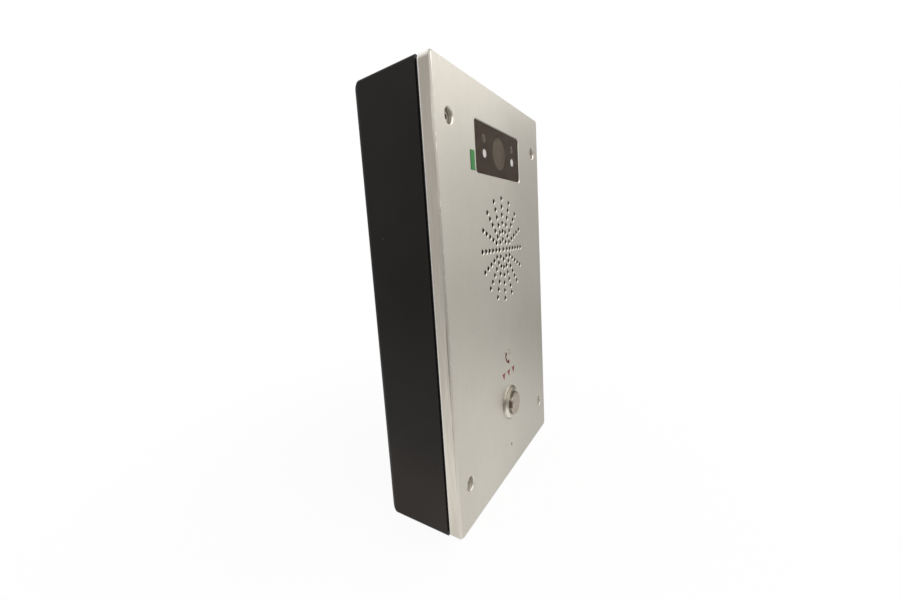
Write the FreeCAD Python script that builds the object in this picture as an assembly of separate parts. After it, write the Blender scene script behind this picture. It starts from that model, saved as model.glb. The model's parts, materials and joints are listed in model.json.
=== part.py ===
import FreeCAD, Part
import math
import os

from FreeCAD import Vector

# Video door intercom panel, in millimetres.
# The origin is the centre of the wall face. X points right as seen from the front,
# Y into the wall and Z up, so every depth in front of the wall is a negative Y.

# Panel and box
panel_width = 122.0
panel_height = 195.0
corner_radius = 2.6
panel_thickness = 5.8
panel_chamfer = 0.9
edge_break = 0.35
face_thickness = 3.2
rim_width = 4.5
rim_corner_radius = 3.0
box_wall = 3.0
box_corner_radius = 1.2
box_inner_corner_radius = 1.2
rear_wall = 2.5
rear_edge_radius = 2.4
gasket_thickness = 0.8
gasket_inset = 0.9

# Gaps that the fits leave
thread_gap = 0.05
bolt_gap = 0.25
drop_in_gap = 0.2
running_gap = 0.05
stop_gap = 0.1
board_clearance = 1.0
rear_clearance = 1.2

# Screws
slot_width_share = 0.3
slot_depth_share = 0.45
socket_depth_share = 0.6
tapping_allowance = 2.0
panel_screw_inset_x = 11.3
panel_screw_inset_z = 20.8
panel_screw_radius = 1.5
panel_screw_length = 12.0
panel_screw_head_radius = 2.8
panel_screw_head_height = 2.0
panel_screw_head_round = 0.9
panel_screw_sink = 1.6
panel_recess_chamfer = 0.45
panel_screw_socket = 2.0
post_radius = 4.6
post_rib_width = 5.0

# Wall side
wall_screw_spacing_x = 70.0
wall_screw_spacing_z = 130.0
wall_screw_hole_radius = 2.5
cable_hole_inset = 25.5
cable_hole_radius = 9.0
cable_bore_radius = 4.0
grommet_lip = 2.0
grommet_lip_thickness = 1.2
grommet_nose = 3.0
earth_screw_inset_x = 19.0
earth_screw_inset_z = 13.5
earth_pad_radius = 5.0
earth_pad_height = 2.5
earth_screw_radius = 2.0
earth_screw_length = 4.0
earth_screw_head_radius = 4.0
earth_screw_head_height = 2.4

# Camera window
window_inset_top = 28.05
window_width = 54.0
window_height = 22.0
window_thickness = 1.6
window_corner_radius = 1.5
window_sink = 0.35
window_ledge = 2.0
adhesive_thickness = 0.2
film_thickness = 0.1
film_margin = 0.3
pull_tab_width = 3.7
pull_tab_height = 8.2
pull_tab_lift = 0.35
pull_tab_reach = 5.7

# Camera behind the window
camera_board_width = 52.0
camera_board_overlap = 6.0
camera_board_thickness = 1.2
camera_board_corner_radius = 1.0
camera_post_height = 10.0
camera_post_radius = 2.9
camera_post_inset = 3.0
camera_screw_radius = 1.25
camera_screw_length = 4.5
camera_screw_head_radius = 2.2
camera_screw_head_height = 1.5
lens_gap = 0.6
lens_head_radius = 6.5
lens_thread_radius = 5.0
lens_thread_length = 3.6
lens_bore_radius = 3.2
lens_flare = 1.1
lens_glass_radius = 4.6
lens_glass_thickness = 1.4
lens_glass_bulge = 0.7
focus_gap = 0.25
holder_wall = 2.6
holder_height = 6.5
holder_foot = 16.5
holder_foot_height = 3.0
sensor_size = 7.0
sensor_thickness = 1.0
sensor_margin = 0.8
camera_connector_width = 16.0
camera_connector_height = 4.6
camera_connector_rise = 4.5

# Lights beside the lens
light_spacing = 34.4
white_light_rise = -2.15
infrared_light_rise = 4.55
light_radius = 2.5
light_length = 8.0
light_flange = 0.4
light_flange_height = 1.0
light_window_gap = 0.5
light_pin = 0.5
light_pin_spacing = 2.0

# Speaker grille and speaker
grille_drop = 46.05
grille_hole_radius = 1.15
grille_first_ring = 5.0
grille_ring_step = 4.0
grille_inner_holes = 8
grille_outer_holes = 16
speaker_radius = 28.5
speaker_flange = 3.3
speaker_wall = 0.8
speaker_depth = 15.0
speaker_basket_height = 10.4
basket_window_width = 16.0
basket_window_margin = 2.0
speaker_lug_reach = 6.0
speaker_lug_width = 8.0
speaker_terminal_width = 4.0
speaker_terminal_height = 1.0
speaker_coil_radius = 8.2
speaker_mesh_thickness = 0.2
speaker_gasket_thickness = 1.0
cone_thickness = 0.4
cone_rim = 1.2
cone_depth = 5.2
surround_width = 3.2
surround_depth = 1.4
dust_cap_rise = 2.6
magnet_radius = 16.0
magnet_plate_step = 2.0
magnet_plate_thickness = 1.5
coil_gap = 0.35
coil_depth = 3.0
clamp_thickness = 1.2
clamp_gap = 0.3
clamp_width = 3.0
clamp_ear_radius = 4.0
clamp_screw_reach = 5.0
clamp_screw_radius = 1.5
clamp_screw_length = 4.4
clamp_screw_head_radius = 2.6
clamp_screw_head_height = 1.7

# Microphone
microphone_inset = 15.2
microphone_hole_radius = 0.75
microphone_radius = 4.85
microphone_length = 4.5
boot_wall = 1.6
boot_front = 1.5
boot_lip = 0.8

# Push button
button_inset = 39.5
bezel_radius = 9.1
bezel_height = 2.0
bezel_edge_height = 0.4
bezel_cone_width = 1.3
barrel_wall = 1.1
barrel_length = 18.0
actuator_radius = 6.0
actuator_rise = 1.3
actuator_guide_length = 5.4
actuator_edge_radius = 0.4
actuator_flange = 0.7
actuator_flange_height = 1.0
actuator_front = 2.0
actuator_wall = 0.8
button_travel = 2.2
seal_groove_offset = 1.9
seal_groove_width = 1.0
seal_groove_depth = 0.8
head_seal_margin = 0.2
head_seal_thickness = 0.8
washer_width = 2.5
washer_thickness = 0.6
nut_wall = 2.0
nut_height = 3.2
plunger_length = 7.6
plunger_pin_radius = 1.2
plunger_pin_length = 2.0
bridge_end_gap = 1.4
bridge_width = 3.0
bridge_thickness = 0.5
spring_length = 6.0
spring_radius = 2.3
spring_wire_radius = 0.2
spring_turns = 4
spring_seat_gap = 0.3
base_spigot_radius = 1.3
base_spigot_height = 2.0
base_flange_step = 0.4
base_flange_thickness = 1.3
terminal_width = 2.0
terminal_thickness = 0.6
terminal_tail = 3.7

# Main board and what it carries
board_side_gap = 2.1
board_inset_top = 11.5
board_button_gap = 6.9
board_thickness = 1.6
board_corner_radius = 2.0
board_screw_inset_x = 5.0
board_screw_inset_z = 6.0
standoff_across_flats = 5.5
standoff_foot_radius = 2.1
standoff_foot_length = 1.6
board_screw_radius = 1.5
board_screw_length = 6.0
board_screw_head_radius = 2.8
board_screw_head_height = 1.8
part_gap = 0.9
jack_inset = 19.0
jack_width = 16.0
jack_length = 15.9
jack_height = 12.3
jack_socket_width = 11.9
jack_socket_height = 7.6
jack_socket_depth = 12.5
jack_socket_floor = 2.2
jack_latch_width = 6.2
jack_latch_height = 1.6
terminal_block_pitch = 5.08
terminal_block_length = 9.6
terminal_block_height = 11.2
terminal_entry = 3.4
terminal_entry_depth = 6.0
terminal_well_radius = 1.7
terminal_well_depth = 5.0
relay_inset = 25.0
relay_rise = -28.0
relay_width = 20.0
relay_length = 10.0
relay_height = 12.0
processor_inset = 33.0
processor_rise = 8.0
processor_size = 15.0
processor_thickness = 1.3
heat_sink_size = 22.0
heat_sink_base = 1.6
heat_sink_fins = 6
heat_sink_fin_thickness = 1.1
heat_sink_fin_height = 6.0
capacitor_inset = 15.0
capacitor_rise = 6.0
capacitor_radius = 4.0
capacitor_height = 11.0
capacitor_spacing = 10.0
capacitor_count = 3
header_width = 8.0
header_length = 6.0
header_height = 5.6
header_pin_pitch = 2.5

# Leads between the boards and what they serve
lead_radius = 0.6
bend_share = 0.45
button_lead_reach = 4.5
microphone_lead_reach = 9.0
speaker_lead_reach = 4.8
board_edge_gap = 5.0
header_approach = 8.0
microphone_lead_drop = 24.0

# Depths, counted forward from the wall: the box is as deep as its contents need
board_rear_y = -rear_wall - rear_clearance - jack_height
board_front_y = board_rear_y - board_thickness
magnet_rear_y = board_front_y - board_clearance
speaker_front_y = magnet_rear_y - speaker_depth
mesh_rear_y = speaker_front_y - speaker_gasket_thickness
panel_inner_y = mesh_rear_y - speaker_mesh_thickness
panel_face_y = panel_inner_y - face_thickness
panel_rear_y = panel_face_y + panel_thickness
box_front_y = panel_rear_y + gasket_thickness
screw_seat_y = panel_face_y + panel_screw_sink + panel_screw_head_height

window_face_y = panel_face_y + window_sink
window_rear_y = window_face_y + window_thickness
ledge_y = window_rear_y + adhesive_thickness
film_face_y = panel_face_y - film_thickness
camera_board_y = panel_inner_y + camera_post_height
camera_board_rear_y = camera_board_y + camera_board_thickness
holder_front_y = camera_board_y - holder_height
lens_front_y = window_rear_y + lens_gap
light_tip_y = window_rear_y + light_window_gap
light_rear_y = light_tip_y + light_length

flange_rear_y = speaker_front_y + speaker_wall
basket_rear_y = speaker_front_y + speaker_basket_height
clamp_rear_y = flange_rear_y + clamp_thickness
capsule_front_y = panel_inner_y + boot_front
capsule_rear_y = capsule_front_y + microphone_length
boot_rear_y = capsule_rear_y + boot_lip

bezel_face_y = panel_face_y - bezel_height
head_seal_y = panel_face_y - head_seal_thickness
actuator_face_y = bezel_face_y - actuator_rise
guide_end_y = bezel_face_y + actuator_guide_length
actuator_flange_y = guide_end_y + stop_gap
actuator_rear_y = actuator_flange_y + actuator_flange_height
groove_front_y = actuator_face_y + seal_groove_offset
groove_rear_y = groove_front_y + seal_groove_width
plunger_front_y = actuator_face_y + actuator_front
plunger_rear_y = plunger_front_y + plunger_length
bridge_rear_y = plunger_rear_y + bridge_thickness
contact_y = bridge_rear_y + button_travel + stop_gap
base_floor_y = bridge_rear_y + spring_length
barrel_rear_y = panel_face_y + barrel_length
base_rear_y = barrel_rear_y + base_flange_thickness
terminal_rear_y = base_rear_y + terminal_tail
washer_rear_y = panel_inner_y + washer_thickness
nut_rear_y = washer_rear_y + nut_height

# Heights, counted from the panel's top and bottom edges
window_z = panel_height / 2 - window_inset_top
grille_z = window_z - grille_drop
button_z = -panel_height / 2 + button_inset
microphone_z = -panel_height / 2 + microphone_inset
cable_hole_z = -panel_height / 2 + cable_hole_inset
earth_screw_x = -panel_width / 2 + earth_screw_inset_x
earth_screw_z = -panel_height / 2 + earth_screw_inset_z
board_top_z = panel_height / 2 - board_inset_top
board_bottom_z = button_z + bezel_radius + board_button_gap
board_z = (board_top_z + board_bottom_z) / 2

# Widths and radii that pieces take from each other
pocket_width = panel_width - 2 * rim_width
pocket_height = panel_height - 2 * rim_width
inner_width = panel_width - 2 * box_wall
inner_height = panel_height - 2 * box_wall
panel_screw_x = panel_width / 2 - panel_screw_inset_x
panel_screw_z = panel_height / 2 - panel_screw_inset_z
opening_width = window_width - 2 * window_ledge
opening_height = window_height - 2 * window_ledge
camera_board_height = window_height + 2 * camera_board_overlap
camera_screw_x = camera_board_width / 2 - camera_post_inset
camera_screw_z = camera_board_height / 2 - camera_post_inset
holder_radius = lens_thread_radius + holder_wall
light_flange_radius = light_radius + light_flange
cone_radius = speaker_radius - speaker_flange
gasket_inner_radius = cone_radius + cone_rim + drop_in_gap
basket_back_radius = magnet_radius + drop_in_gap
magnet_plate_radius = magnet_radius - magnet_plate_step
clamp_inner_radius = cone_radius + speaker_wall + clamp_gap
clamp_screw_offset = (speaker_radius + clamp_screw_reach) / math.sqrt(2)
guide_radius = actuator_radius + running_gap
groove_radius = actuator_radius - seal_groove_depth
actuator_bore_radius = groove_radius - actuator_wall
barrel_bore_radius = actuator_radius + actuator_flange + drop_in_gap
barrel_radius = barrel_bore_radius + barrel_wall
head_seal_inner_radius = barrel_radius + drop_in_gap
head_seal_outer_radius = bezel_radius - head_seal_margin
bridge_length = 2 * (barrel_bore_radius - bridge_end_gap)
terminal_x = (bridge_length - terminal_width) / 2 - stop_gap
board_width = 2 * (panel_screw_x - post_radius - board_side_gap)
board_height = board_top_z - board_bottom_z
board_screw_x = board_width / 2 - board_screw_inset_x
board_screw_z = board_height / 2 - board_screw_inset_z
jack_x = jack_inset - board_width / 2
processor_x = processor_inset - board_width / 2
relay_x = board_width / 2 - relay_inset
capacitor_x = board_width / 2 - capacitor_inset
microphone_header_x = jack_x + (jack_width + header_width) / 2 + part_gap
button_header_x = microphone_header_x + header_width + part_gap
terminal_block_left = button_header_x + header_width / 2 + part_gap
terminal_block_room = board_screw_x - board_screw_head_radius - part_gap - terminal_block_left
terminal_block_ways = int(terminal_block_room / terminal_block_pitch)
terminal_block_x = terminal_block_left + terminal_block_ways * terminal_block_pitch / 2

tiny = 1e-6


def corners(x, z, centre_z=0.0):
    """The four places at plus and minus x and z about a centre on the mid-line."""
    return [(i * x, centre_z + k * z) for i in (-1, 1) for k in (-1, 1)]


panel_screw_places = corners(panel_screw_x, panel_screw_z)
wall_screw_places = corners(wall_screw_spacing_x / 2, wall_screw_spacing_z / 2)
camera_screw_places = corners(camera_screw_x, camera_screw_z, window_z)
clamp_screw_places = corners(clamp_screw_offset, clamp_screw_offset, grille_z)
board_screw_places = corners(board_screw_x, board_screw_z, board_z)
white_light_places = [(i * light_spacing / 2, window_z + white_light_rise) for i in (-1, 1)]
infrared_light_places = [(i * light_spacing / 2, window_z + infrared_light_rise) for i in (-1, 1)]


def cylinder(radius, y_from, y_to, x=0.0, z=0.0):
    """Round bar along the depth."""
    start = Vector(x, min(y_from, y_to), z)
    return Part.makeCylinder(radius, abs(y_to - y_from), start, Vector(0, 1, 0))


def cylinders(radius, y_from, y_to, places):
    """The same round bar at several places."""
    return [cylinder(radius, y_from, y_to, x, z) for x, z in places]


def tube(outer_radius, inner_radius, y_from, y_to, x=0.0, z=0.0):
    """Round bar along the depth with a round bore."""
    bar = cylinder(outer_radius, y_from, y_to, x, z)
    return bar.cut(cylinder(inner_radius, y_from, y_to, x, z))


def block(width, height, y_from, y_to, x=0.0, z=0.0):
    """Rectangular bar along the depth, centred on x and z."""
    corner = Vector(x - width / 2, min(y_from, y_to), z - height / 2)
    return Part.makeBox(width, abs(y_to - y_from), height, corner)


def plate(width, height, radius, y_from, y_to, x=0.0, z=0.0):
    """Rectangular bar along the depth with its four long edges rounded."""
    solid = block(width, height, y_from, y_to, x, z)
    long_edges = [e for e in solid.Edges if abs(e.tangentAt(e.FirstParameter).y) > 0.5]
    return solid.makeFillet(radius, long_edges)


def hexagon(across_flats, y_from, y_to, x=0.0, z=0.0):
    """Six-sided bar along the depth."""
    reach = across_flats / math.sqrt(3)
    turns = [math.radians(60 * k) for k in range(6)]
    points = [Vector(x + reach * math.cos(t), y_from, z + reach * math.sin(t)) for t in turns]
    face = Part.Face(Part.makePolygon(points + points[:1]))
    return face.extrude(Vector(0, y_to - y_from, 0))


def dome_drop(radius, rise):
    """How far a spherical dome has dropped at half its radius."""
    sphere_radius = (radius**2 + rise**2) / (2 * rise)
    return sphere_radius - math.sqrt(sphere_radius**2 - (radius / 2) ** 2)


def turned(outline, z):
    """Solid turned about an axis along the depth, on the mid-line at one height.

    Each step of the closed outline is the (radius, y) that a straight line runs to. A step
    of four numbers is an arc: the (radius, y) it passes through, then the one it ends at.
    """
    here = Vector(outline[0][0], outline[0][1], 0)
    edges = []
    for step in outline[1:] + outline[:1]:
        end = Vector(step[-2], step[-1], 0)
        if len(step) == 4:
            edges.append(Part.Arc(here, Vector(step[0], step[1], 0), end).toShape())
        else:
            edges.append(Part.LineSegment(here, end).toShape())
        here = end
    solid = Part.Face(Part.Wire(edges)).revolve(Vector(0, 0, 0), Vector(0, 1, 0), 360)
    solid.translate(Vector(0, 0, z))
    return solid


def joined(first, *others):
    """One solid from pieces that touch or overlap, with flush faces merged."""
    return first.multiFuse(others).removeSplitter()


def without(body, *cuts):
    """A body with several cuts made at once."""
    return body.cut(Part.makeCompound(cuts))


def broken_edges(radius, width, places):
    """Short cones that chamfer the edges of round holes in the panel's face."""
    start = [Vector(x, panel_face_y, z) for x, z in places]
    wide = radius + width
    narrow = radius - width
    return [Part.makeCone(wide, narrow, 2 * width, at, Vector(0, 1, 0)) for at in start]


def edges_in_plane(solid, y):
    """The edges that lie in one plane across the depth."""
    return [e for e in solid.Edges if all(abs(v.Y - y) < tiny for v in e.Vertexes)]


def slotted_screw(x, z, seat_y, direction, radius, length, head_radius, head_height):
    """Cheese-head screw whose shank points along Y in the given direction."""
    head_y = seat_y - direction * head_height
    slot_y = head_y + direction * head_height * slot_depth_share
    head = cylinder(head_radius, head_y, seat_y, x, z)
    shank = cylinder(radius, seat_y, seat_y + direction * length, x, z)
    slot = block(2 * head_radius, 2 * head_radius * slot_width_share, head_y, slot_y, x, z)
    return joined(head, shank).cut(slot)


def round_wire(points, radius):
    """Round wire along straight runs joined by tangent arcs."""
    edges = []
    start = points[0]
    for before, corner, after in zip(points, points[1:], points[2:]):
        arrive = corner - before
        leave = after - corner
        reach = bend_share * min(arrive.Length, leave.Length)
        arrive.normalize()
        leave.normalize()
        half_turn = arrive.getAngle(leave) / 2
        bend = reach / math.tan(half_turn)
        inward = (leave - arrive).normalize()
        middle = corner + inward * (bend / math.cos(half_turn) - bend)
        arc_start = corner - arrive * reach
        arc_end = corner + leave * reach
        edges.append(Part.LineSegment(start, arc_start).toShape())
        edges.append(Part.Arc(arc_start, middle, arc_end).toShape())
        start = arc_end
        print(f"lead: bend radius {bend:.1f} mm")
    edges.append(Part.LineSegment(start, points[-1]).toShape())
    path = Part.Wire(edges)
    section = Part.Wire(Part.makeCircle(radius, points[0], points[1] - points[0]))
    solid = path.makePipeShell([section], True, False)
    share = solid.Volume / (math.pi * radius**2 * path.Length)
    print(f"lead: length {path.Length:.1f} mm, volume over section times length {share:.3f}")
    return solid


def arc_leaving(start, tangent, end):
    """Arc from start to end that leaves start along a unit tangent."""
    chord = end - start
    along = Vector(chord).normalize()
    sideways = (tangent - along * tangent.dot(along)).normalize()
    turn = tangent.getAngle(chord)
    middle = (start + end) * 0.5 + sideways * (chord.Length / 2 * math.tan(turn / 2))
    return Part.Arc(start, middle, end).toShape()


def coil(radius, wire_radius, turns, y_from, y_to, z):
    """Round wire wound about an axis along the depth, as two tangent arcs each quarter turn."""
    speed = 2 * math.pi * turns * radius

    def point(share):
        angle = 2 * math.pi * turns * share
        y = y_from + (y_to - y_from) * share
        return Vector(radius * math.cos(angle), y, z + radius * math.sin(angle))

    def tangent(share):
        angle = 2 * math.pi * turns * share
        across = Vector(-speed * math.sin(angle), y_to - y_from, speed * math.cos(angle))
        return across.normalize()

    steps = 4 * turns
    edges = []
    for k in range(steps):
        start = point(k / steps)
        end = point((k + 1) / steps)
        leave = tangent(k / steps)
        arrive = tangent((k + 1) / steps)
        span = end - start
        forward = span.dot(leave + arrive)
        spread = 2 * (1 - leave.dot(arrive))
        reach = (math.sqrt(forward**2 + spread * span.dot(span)) - forward) / spread
        meet = (start + end + (leave - arrive) * reach) * 0.5
        edges.append(arc_leaving(start, leave, meet))
        edges.append(arc_leaving(end, arrive * -1, meet))
    path = Part.Wire(Part.__sortEdges__(edges))
    section = Part.Wire(Part.makeCircle(wire_radius, point(0), tangent(0)))
    print(f"spring: gap between turns {(y_to - y_from) / turns - 2 * wire_radius:.2f} mm")
    return path.makePipeShell([section], True, False)


def save(name, *solids):
    """Write one node, made of one solid or of several alike."""
    for solid in solids:
        if not solid.isValid() or solid.Volume <= 0:
            print(f"{name}: a solid is not sound, volume {solid.Volume:.2f}")
    shape = solids[0] if len(solids) == 1 else Part.makeCompound(list(solids))
    shape.exportStep(f"parts/{name}.step")


# Front panel: a machined plate with a pocket and bosses behind, and all its openings


def grille_places():
    """One centre hole, a ring of eight and rings of sixteen, as far as the speaker's gasket."""
    places = [(0.0, grille_z)]
    ring = grille_first_ring
    count = grille_inner_holes
    while ring + grille_hole_radius <= gasket_inner_radius:
        for k in range(count):
            turn = 2 * math.pi * k / count
            places.append((ring * math.cos(turn), grille_z + ring * math.sin(turn)))
        ring += grille_ring_step
        count = grille_outer_holes
    return places


def front_panel():
    body = plate(panel_width, panel_height, corner_radius, panel_face_y, panel_rear_y)
    body = body.makeChamfer(panel_chamfer, edges_in_plane(body, panel_face_y))
    body = body.makeChamfer(edge_break, edges_in_plane(body, panel_rear_y))
    body = body.cut(
        plate(pocket_width, pocket_height, rim_corner_radius, panel_inner_y, panel_rear_y)
    )
    body = joined(
        body,
        *cylinders(post_radius, panel_inner_y, box_front_y, panel_screw_places),
        *cylinders(camera_post_radius, panel_inner_y, camera_board_y, camera_screw_places),
        *cylinders(clamp_ear_radius, panel_inner_y, flange_rear_y, clamp_screw_places),
    )
    window_pocket = plate(
        window_width + 2 * drop_in_gap,
        window_height + 2 * drop_in_gap,
        window_corner_radius + drop_in_gap,
        panel_face_y,
        ledge_y,
        z=window_z,
    )
    window_opening = plate(
        opening_width, opening_height, window_corner_radius, ledge_y, panel_inner_y, z=window_z
    )
    window_edge = plate(
        window_width + 2 * drop_in_gap + 2 * edge_break,
        window_height + 2 * drop_in_gap + 2 * edge_break,
        window_corner_radius + drop_in_gap + edge_break,
        panel_face_y - edge_break,
        panel_face_y + 2 * edge_break,
        z=window_z,
    )
    narrow_end = edges_in_plane(window_edge, panel_face_y + 2 * edge_break)
    window_edge = window_edge.makeChamfer(2 * edge_break, narrow_end)
    head_hole = panel_screw_head_radius + drop_in_gap
    camera_tip_y = camera_board_rear_y - camera_screw_length - stop_gap
    clamp_tip_y = clamp_rear_y - clamp_screw_length - stop_gap
    foot_y = panel_inner_y - standoff_foot_length
    body = without(
        body,
        window_pocket,
        window_opening,
        cylinder(barrel_radius + drop_in_gap, panel_face_y, panel_inner_y, z=button_z),
        cylinder(microphone_hole_radius, panel_face_y, panel_inner_y, z=microphone_z),
        *cylinders(grille_hole_radius, panel_face_y, panel_inner_y, grille_places()),
        *cylinders(head_hole, panel_face_y, screw_seat_y, panel_screw_places),
        *cylinders(panel_screw_radius + bolt_gap, screw_seat_y, box_front_y, panel_screw_places),
        *cylinders(camera_screw_radius + thread_gap, camera_tip_y, camera_board_y, camera_screw_places),
        *cylinders(clamp_screw_radius + thread_gap, clamp_tip_y, flange_rear_y, clamp_screw_places),
        *cylinders(standoff_foot_radius + thread_gap, foot_y, panel_inner_y, board_screw_places),
    )
    return without(
        body,
        window_edge,
        *broken_edges(grille_hole_radius, edge_break, grille_places()),
        *broken_edges(head_hole, panel_recess_chamfer, panel_screw_places),
    )


# Back box: posts for the panel screws, holes for the wall screws and the cable


def rounded_behind(axis):
    """The box's block with its two rear edges along one axis rounded."""
    solid = block(panel_width, panel_height, 0.0, box_front_y)
    rear_edges = edges_in_plane(solid, 0.0)
    along = [e for e in rear_edges if abs(e.tangentAt(e.FirstParameter)[axis]) > 0.5]
    return solid.makeFillet(rear_edge_radius, along)


def back_box():
    body = plate(panel_width, panel_height, box_corner_radius, 0.0, box_front_y)
    body = body.common(rounded_behind(0)).common(rounded_behind(2))
    body = body.cut(
        plate(inner_width, inner_height, box_inner_corner_radius, -rear_wall, box_front_y)
    )
    ribs = []
    for x, z in panel_screw_places:
        side = math.copysign(inner_width / 2, x)
        ribs.append(
            block(abs(side - x), post_rib_width, -rear_wall, box_front_y, (side + x) / 2, z)
        )
    earth_y = -rear_wall - earth_pad_height
    earth_place = (earth_screw_x, earth_screw_z)
    body = joined(
        body,
        *ribs,
        *cylinders(post_radius, -rear_wall, box_front_y, panel_screw_places),
        cylinder(earth_pad_radius, -rear_wall, earth_y, *earth_place),
    )
    tap_y = screw_seat_y + panel_screw_length + tapping_allowance
    lip_hole = cable_hole_radius + grommet_lip + drop_in_gap
    return without(
        body,
        *cylinders(panel_screw_radius + thread_gap, box_front_y, tap_y, panel_screw_places),
        *cylinders(wall_screw_hole_radius, 0.0, -rear_wall, wall_screw_places),
        cylinder(cable_hole_radius, 0.0, -rear_wall, z=cable_hole_z),
        cylinder(lip_hole, 0.0, -grommet_lip_thickness, z=cable_hole_z),
        cylinder(earth_screw_radius + thread_gap, earth_y, earth_y + earth_screw_length, *earth_place),
    )


def panel_gasket():
    """Rubber frame in the seam, set back from the outside."""
    outer = plate(
        panel_width - 2 * gasket_inset,
        panel_height - 2 * gasket_inset,
        corner_radius - gasket_inset,
        box_front_y,
        panel_rear_y,
    )
    return outer.cut(
        plate(inner_width, inner_height, box_inner_corner_radius, box_front_y, panel_rear_y)
    )


def panel_screw(x, z):
    """Button-head screw with a hexagon socket."""
    head_y = screw_seat_y - panel_screw_head_height
    socket_y = head_y + panel_screw_head_height * socket_depth_share
    head = cylinder(panel_screw_head_radius, head_y, screw_seat_y, x, z)
    head = head.makeFillet(panel_screw_head_round, edges_in_plane(head, head_y))
    shank = cylinder(panel_screw_radius, screw_seat_y, screw_seat_y + panel_screw_length, x, z)
    return joined(head, shank).cut(hexagon(panel_screw_socket, head_y, socket_y, x, z))


def cable_grommet():
    """Rubber ring that grips the cable hole's edge, with a nose into the box."""
    lip_radius = cable_hole_radius + grommet_lip
    neck_radius = cable_hole_radius - thread_gap
    inner_lip_y = -rear_wall - grommet_lip_thickness
    nose_y = inner_lip_y - grommet_nose
    nose_radius = (cable_bore_radius + cable_hole_radius) / 2
    return turned(
        [
            (cable_bore_radius, 0.0),
            (lip_radius, 0.0),
            (lip_radius, -grommet_lip_thickness),
            (neck_radius, -grommet_lip_thickness),
            (neck_radius, -rear_wall),
            (lip_radius, -rear_wall),
            (lip_radius, inner_lip_y),
            (neck_radius, inner_lip_y),
            (nose_radius, nose_y),
            (cable_bore_radius, nose_y),
        ],
        cable_hole_z,
    )


def earth_screw():
    return slotted_screw(
        earth_screw_x,
        earth_screw_z,
        -rear_wall - earth_pad_height,
        1,
        earth_screw_radius,
        earth_screw_length - stop_gap,
        earth_screw_head_radius,
        earth_screw_head_height,
    )


# Camera window and its film


def window_adhesive():
    """Tape between the window and its ledge."""
    outer = plate(
        window_width, window_height, window_corner_radius, window_rear_y, ledge_y, z=window_z
    )
    return outer.cut(
        plate(
            opening_width, opening_height, window_corner_radius, window_rear_y, ledge_y, z=window_z
        )
    )


def camera_window():
    return plate(
        window_width, window_height, window_corner_radius, window_face_y, window_rear_y, z=window_z
    )


pull_tab_left_x = -window_width / 2 - pull_tab_reach
pull_tab_low_z = window_z - window_height / 2 + pull_tab_lift


def window_film():
    """Thin film on the window, with a tongue that steps up onto the panel's face."""
    sheet_front_y = window_face_y - film_thickness
    sheet = plate(
        window_width - 2 * film_margin,
        window_height - 2 * film_margin,
        window_corner_radius,
        window_face_y,
        sheet_front_y,
        z=window_z,
    )
    step_x = -window_width / 2 - drop_in_gap
    sheet_left_x = -window_width / 2 + film_margin
    root_x = sheet_left_x + 2 * film_margin
    section = [
        (pull_tab_left_x, panel_face_y),
        (step_x, panel_face_y),
        (sheet_left_x - film_thickness, window_face_y),
        (root_x, window_face_y),
        (root_x, sheet_front_y),
        (sheet_left_x, sheet_front_y),
        (step_x + film_thickness, film_face_y),
        (pull_tab_left_x, film_face_y),
    ]
    points = [Vector(x, y, pull_tab_low_z) for x, y in section]
    tongue = Part.Face(Part.makePolygon(points + points[:1]))
    return joined(sheet, tongue.extrude(Vector(0, 0, pull_tab_height)))


def film_pull_tab():
    """Coloured end of the film's tongue."""
    return block(
        pull_tab_width,
        pull_tab_height,
        film_face_y,
        film_face_y - film_thickness,
        pull_tab_left_x + pull_tab_width / 2,
        pull_tab_low_z + pull_tab_height / 2,
    )


# Camera and lights behind the window


def lens_baffle():
    """Foam ring from the window to the holder that keeps stray light out of the lens."""
    inner_radius = lens_head_radius + drop_in_gap
    return tube(holder_radius, inner_radius, window_rear_y, holder_front_y, z=window_z)


def lens_holder():
    """Square foot over the sensor with a round tower for the lens."""
    foot_y = camera_board_y - holder_foot_height
    foot = plate(
        holder_foot, holder_foot, camera_board_corner_radius, camera_board_y, foot_y, z=window_z
    )
    tower = cylinder(holder_radius, camera_board_y, holder_front_y, z=window_z)
    cavity = sensor_size + 2 * sensor_margin
    cavity_y = camera_board_y - sensor_thickness - sensor_margin
    bore_radius = lens_thread_radius + thread_gap
    return without(
        joined(foot, tower),
        block(cavity, cavity, camera_board_y, cavity_y, z=window_z),
        cylinder(bore_radius, camera_board_y, holder_front_y, z=window_z),
    )


def lens_barrel():
    """Threaded tube whose wider head carries the front glass."""
    head_rear_y = holder_front_y - focus_gap
    thread_end_y = holder_front_y + lens_thread_length
    edge_y = lens_front_y + lens_glass_bulge
    seat_y = edge_y + lens_glass_thickness
    seat_radius = lens_glass_radius + thread_gap
    return turned(
        [
            (lens_bore_radius, thread_end_y),
            (lens_thread_radius, thread_end_y),
            (lens_thread_radius, head_rear_y),
            (lens_head_radius, head_rear_y),
            (lens_head_radius, lens_front_y),
            (seat_radius + lens_flare, lens_front_y),
            (seat_radius, edge_y),
            (seat_radius, seat_y),
            (lens_bore_radius, seat_y),
        ],
        window_z,
    )


def lens_glass():
    """Front lens, domed towards the window."""
    edge_y = lens_front_y + lens_glass_bulge
    rear_y = edge_y + lens_glass_thickness
    half_y = lens_front_y + dome_drop(lens_glass_radius, lens_glass_bulge)
    return turned(
        [
            (0.0, lens_front_y),
            (lens_glass_radius / 2, half_y, lens_glass_radius, edge_y),
            (lens_glass_radius, rear_y),
            (0.0, rear_y),
        ],
        window_z,
    )


def image_sensor():
    front_y = camera_board_y - sensor_thickness
    return block(sensor_size, sensor_size, camera_board_y, front_y, z=window_z)


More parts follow.
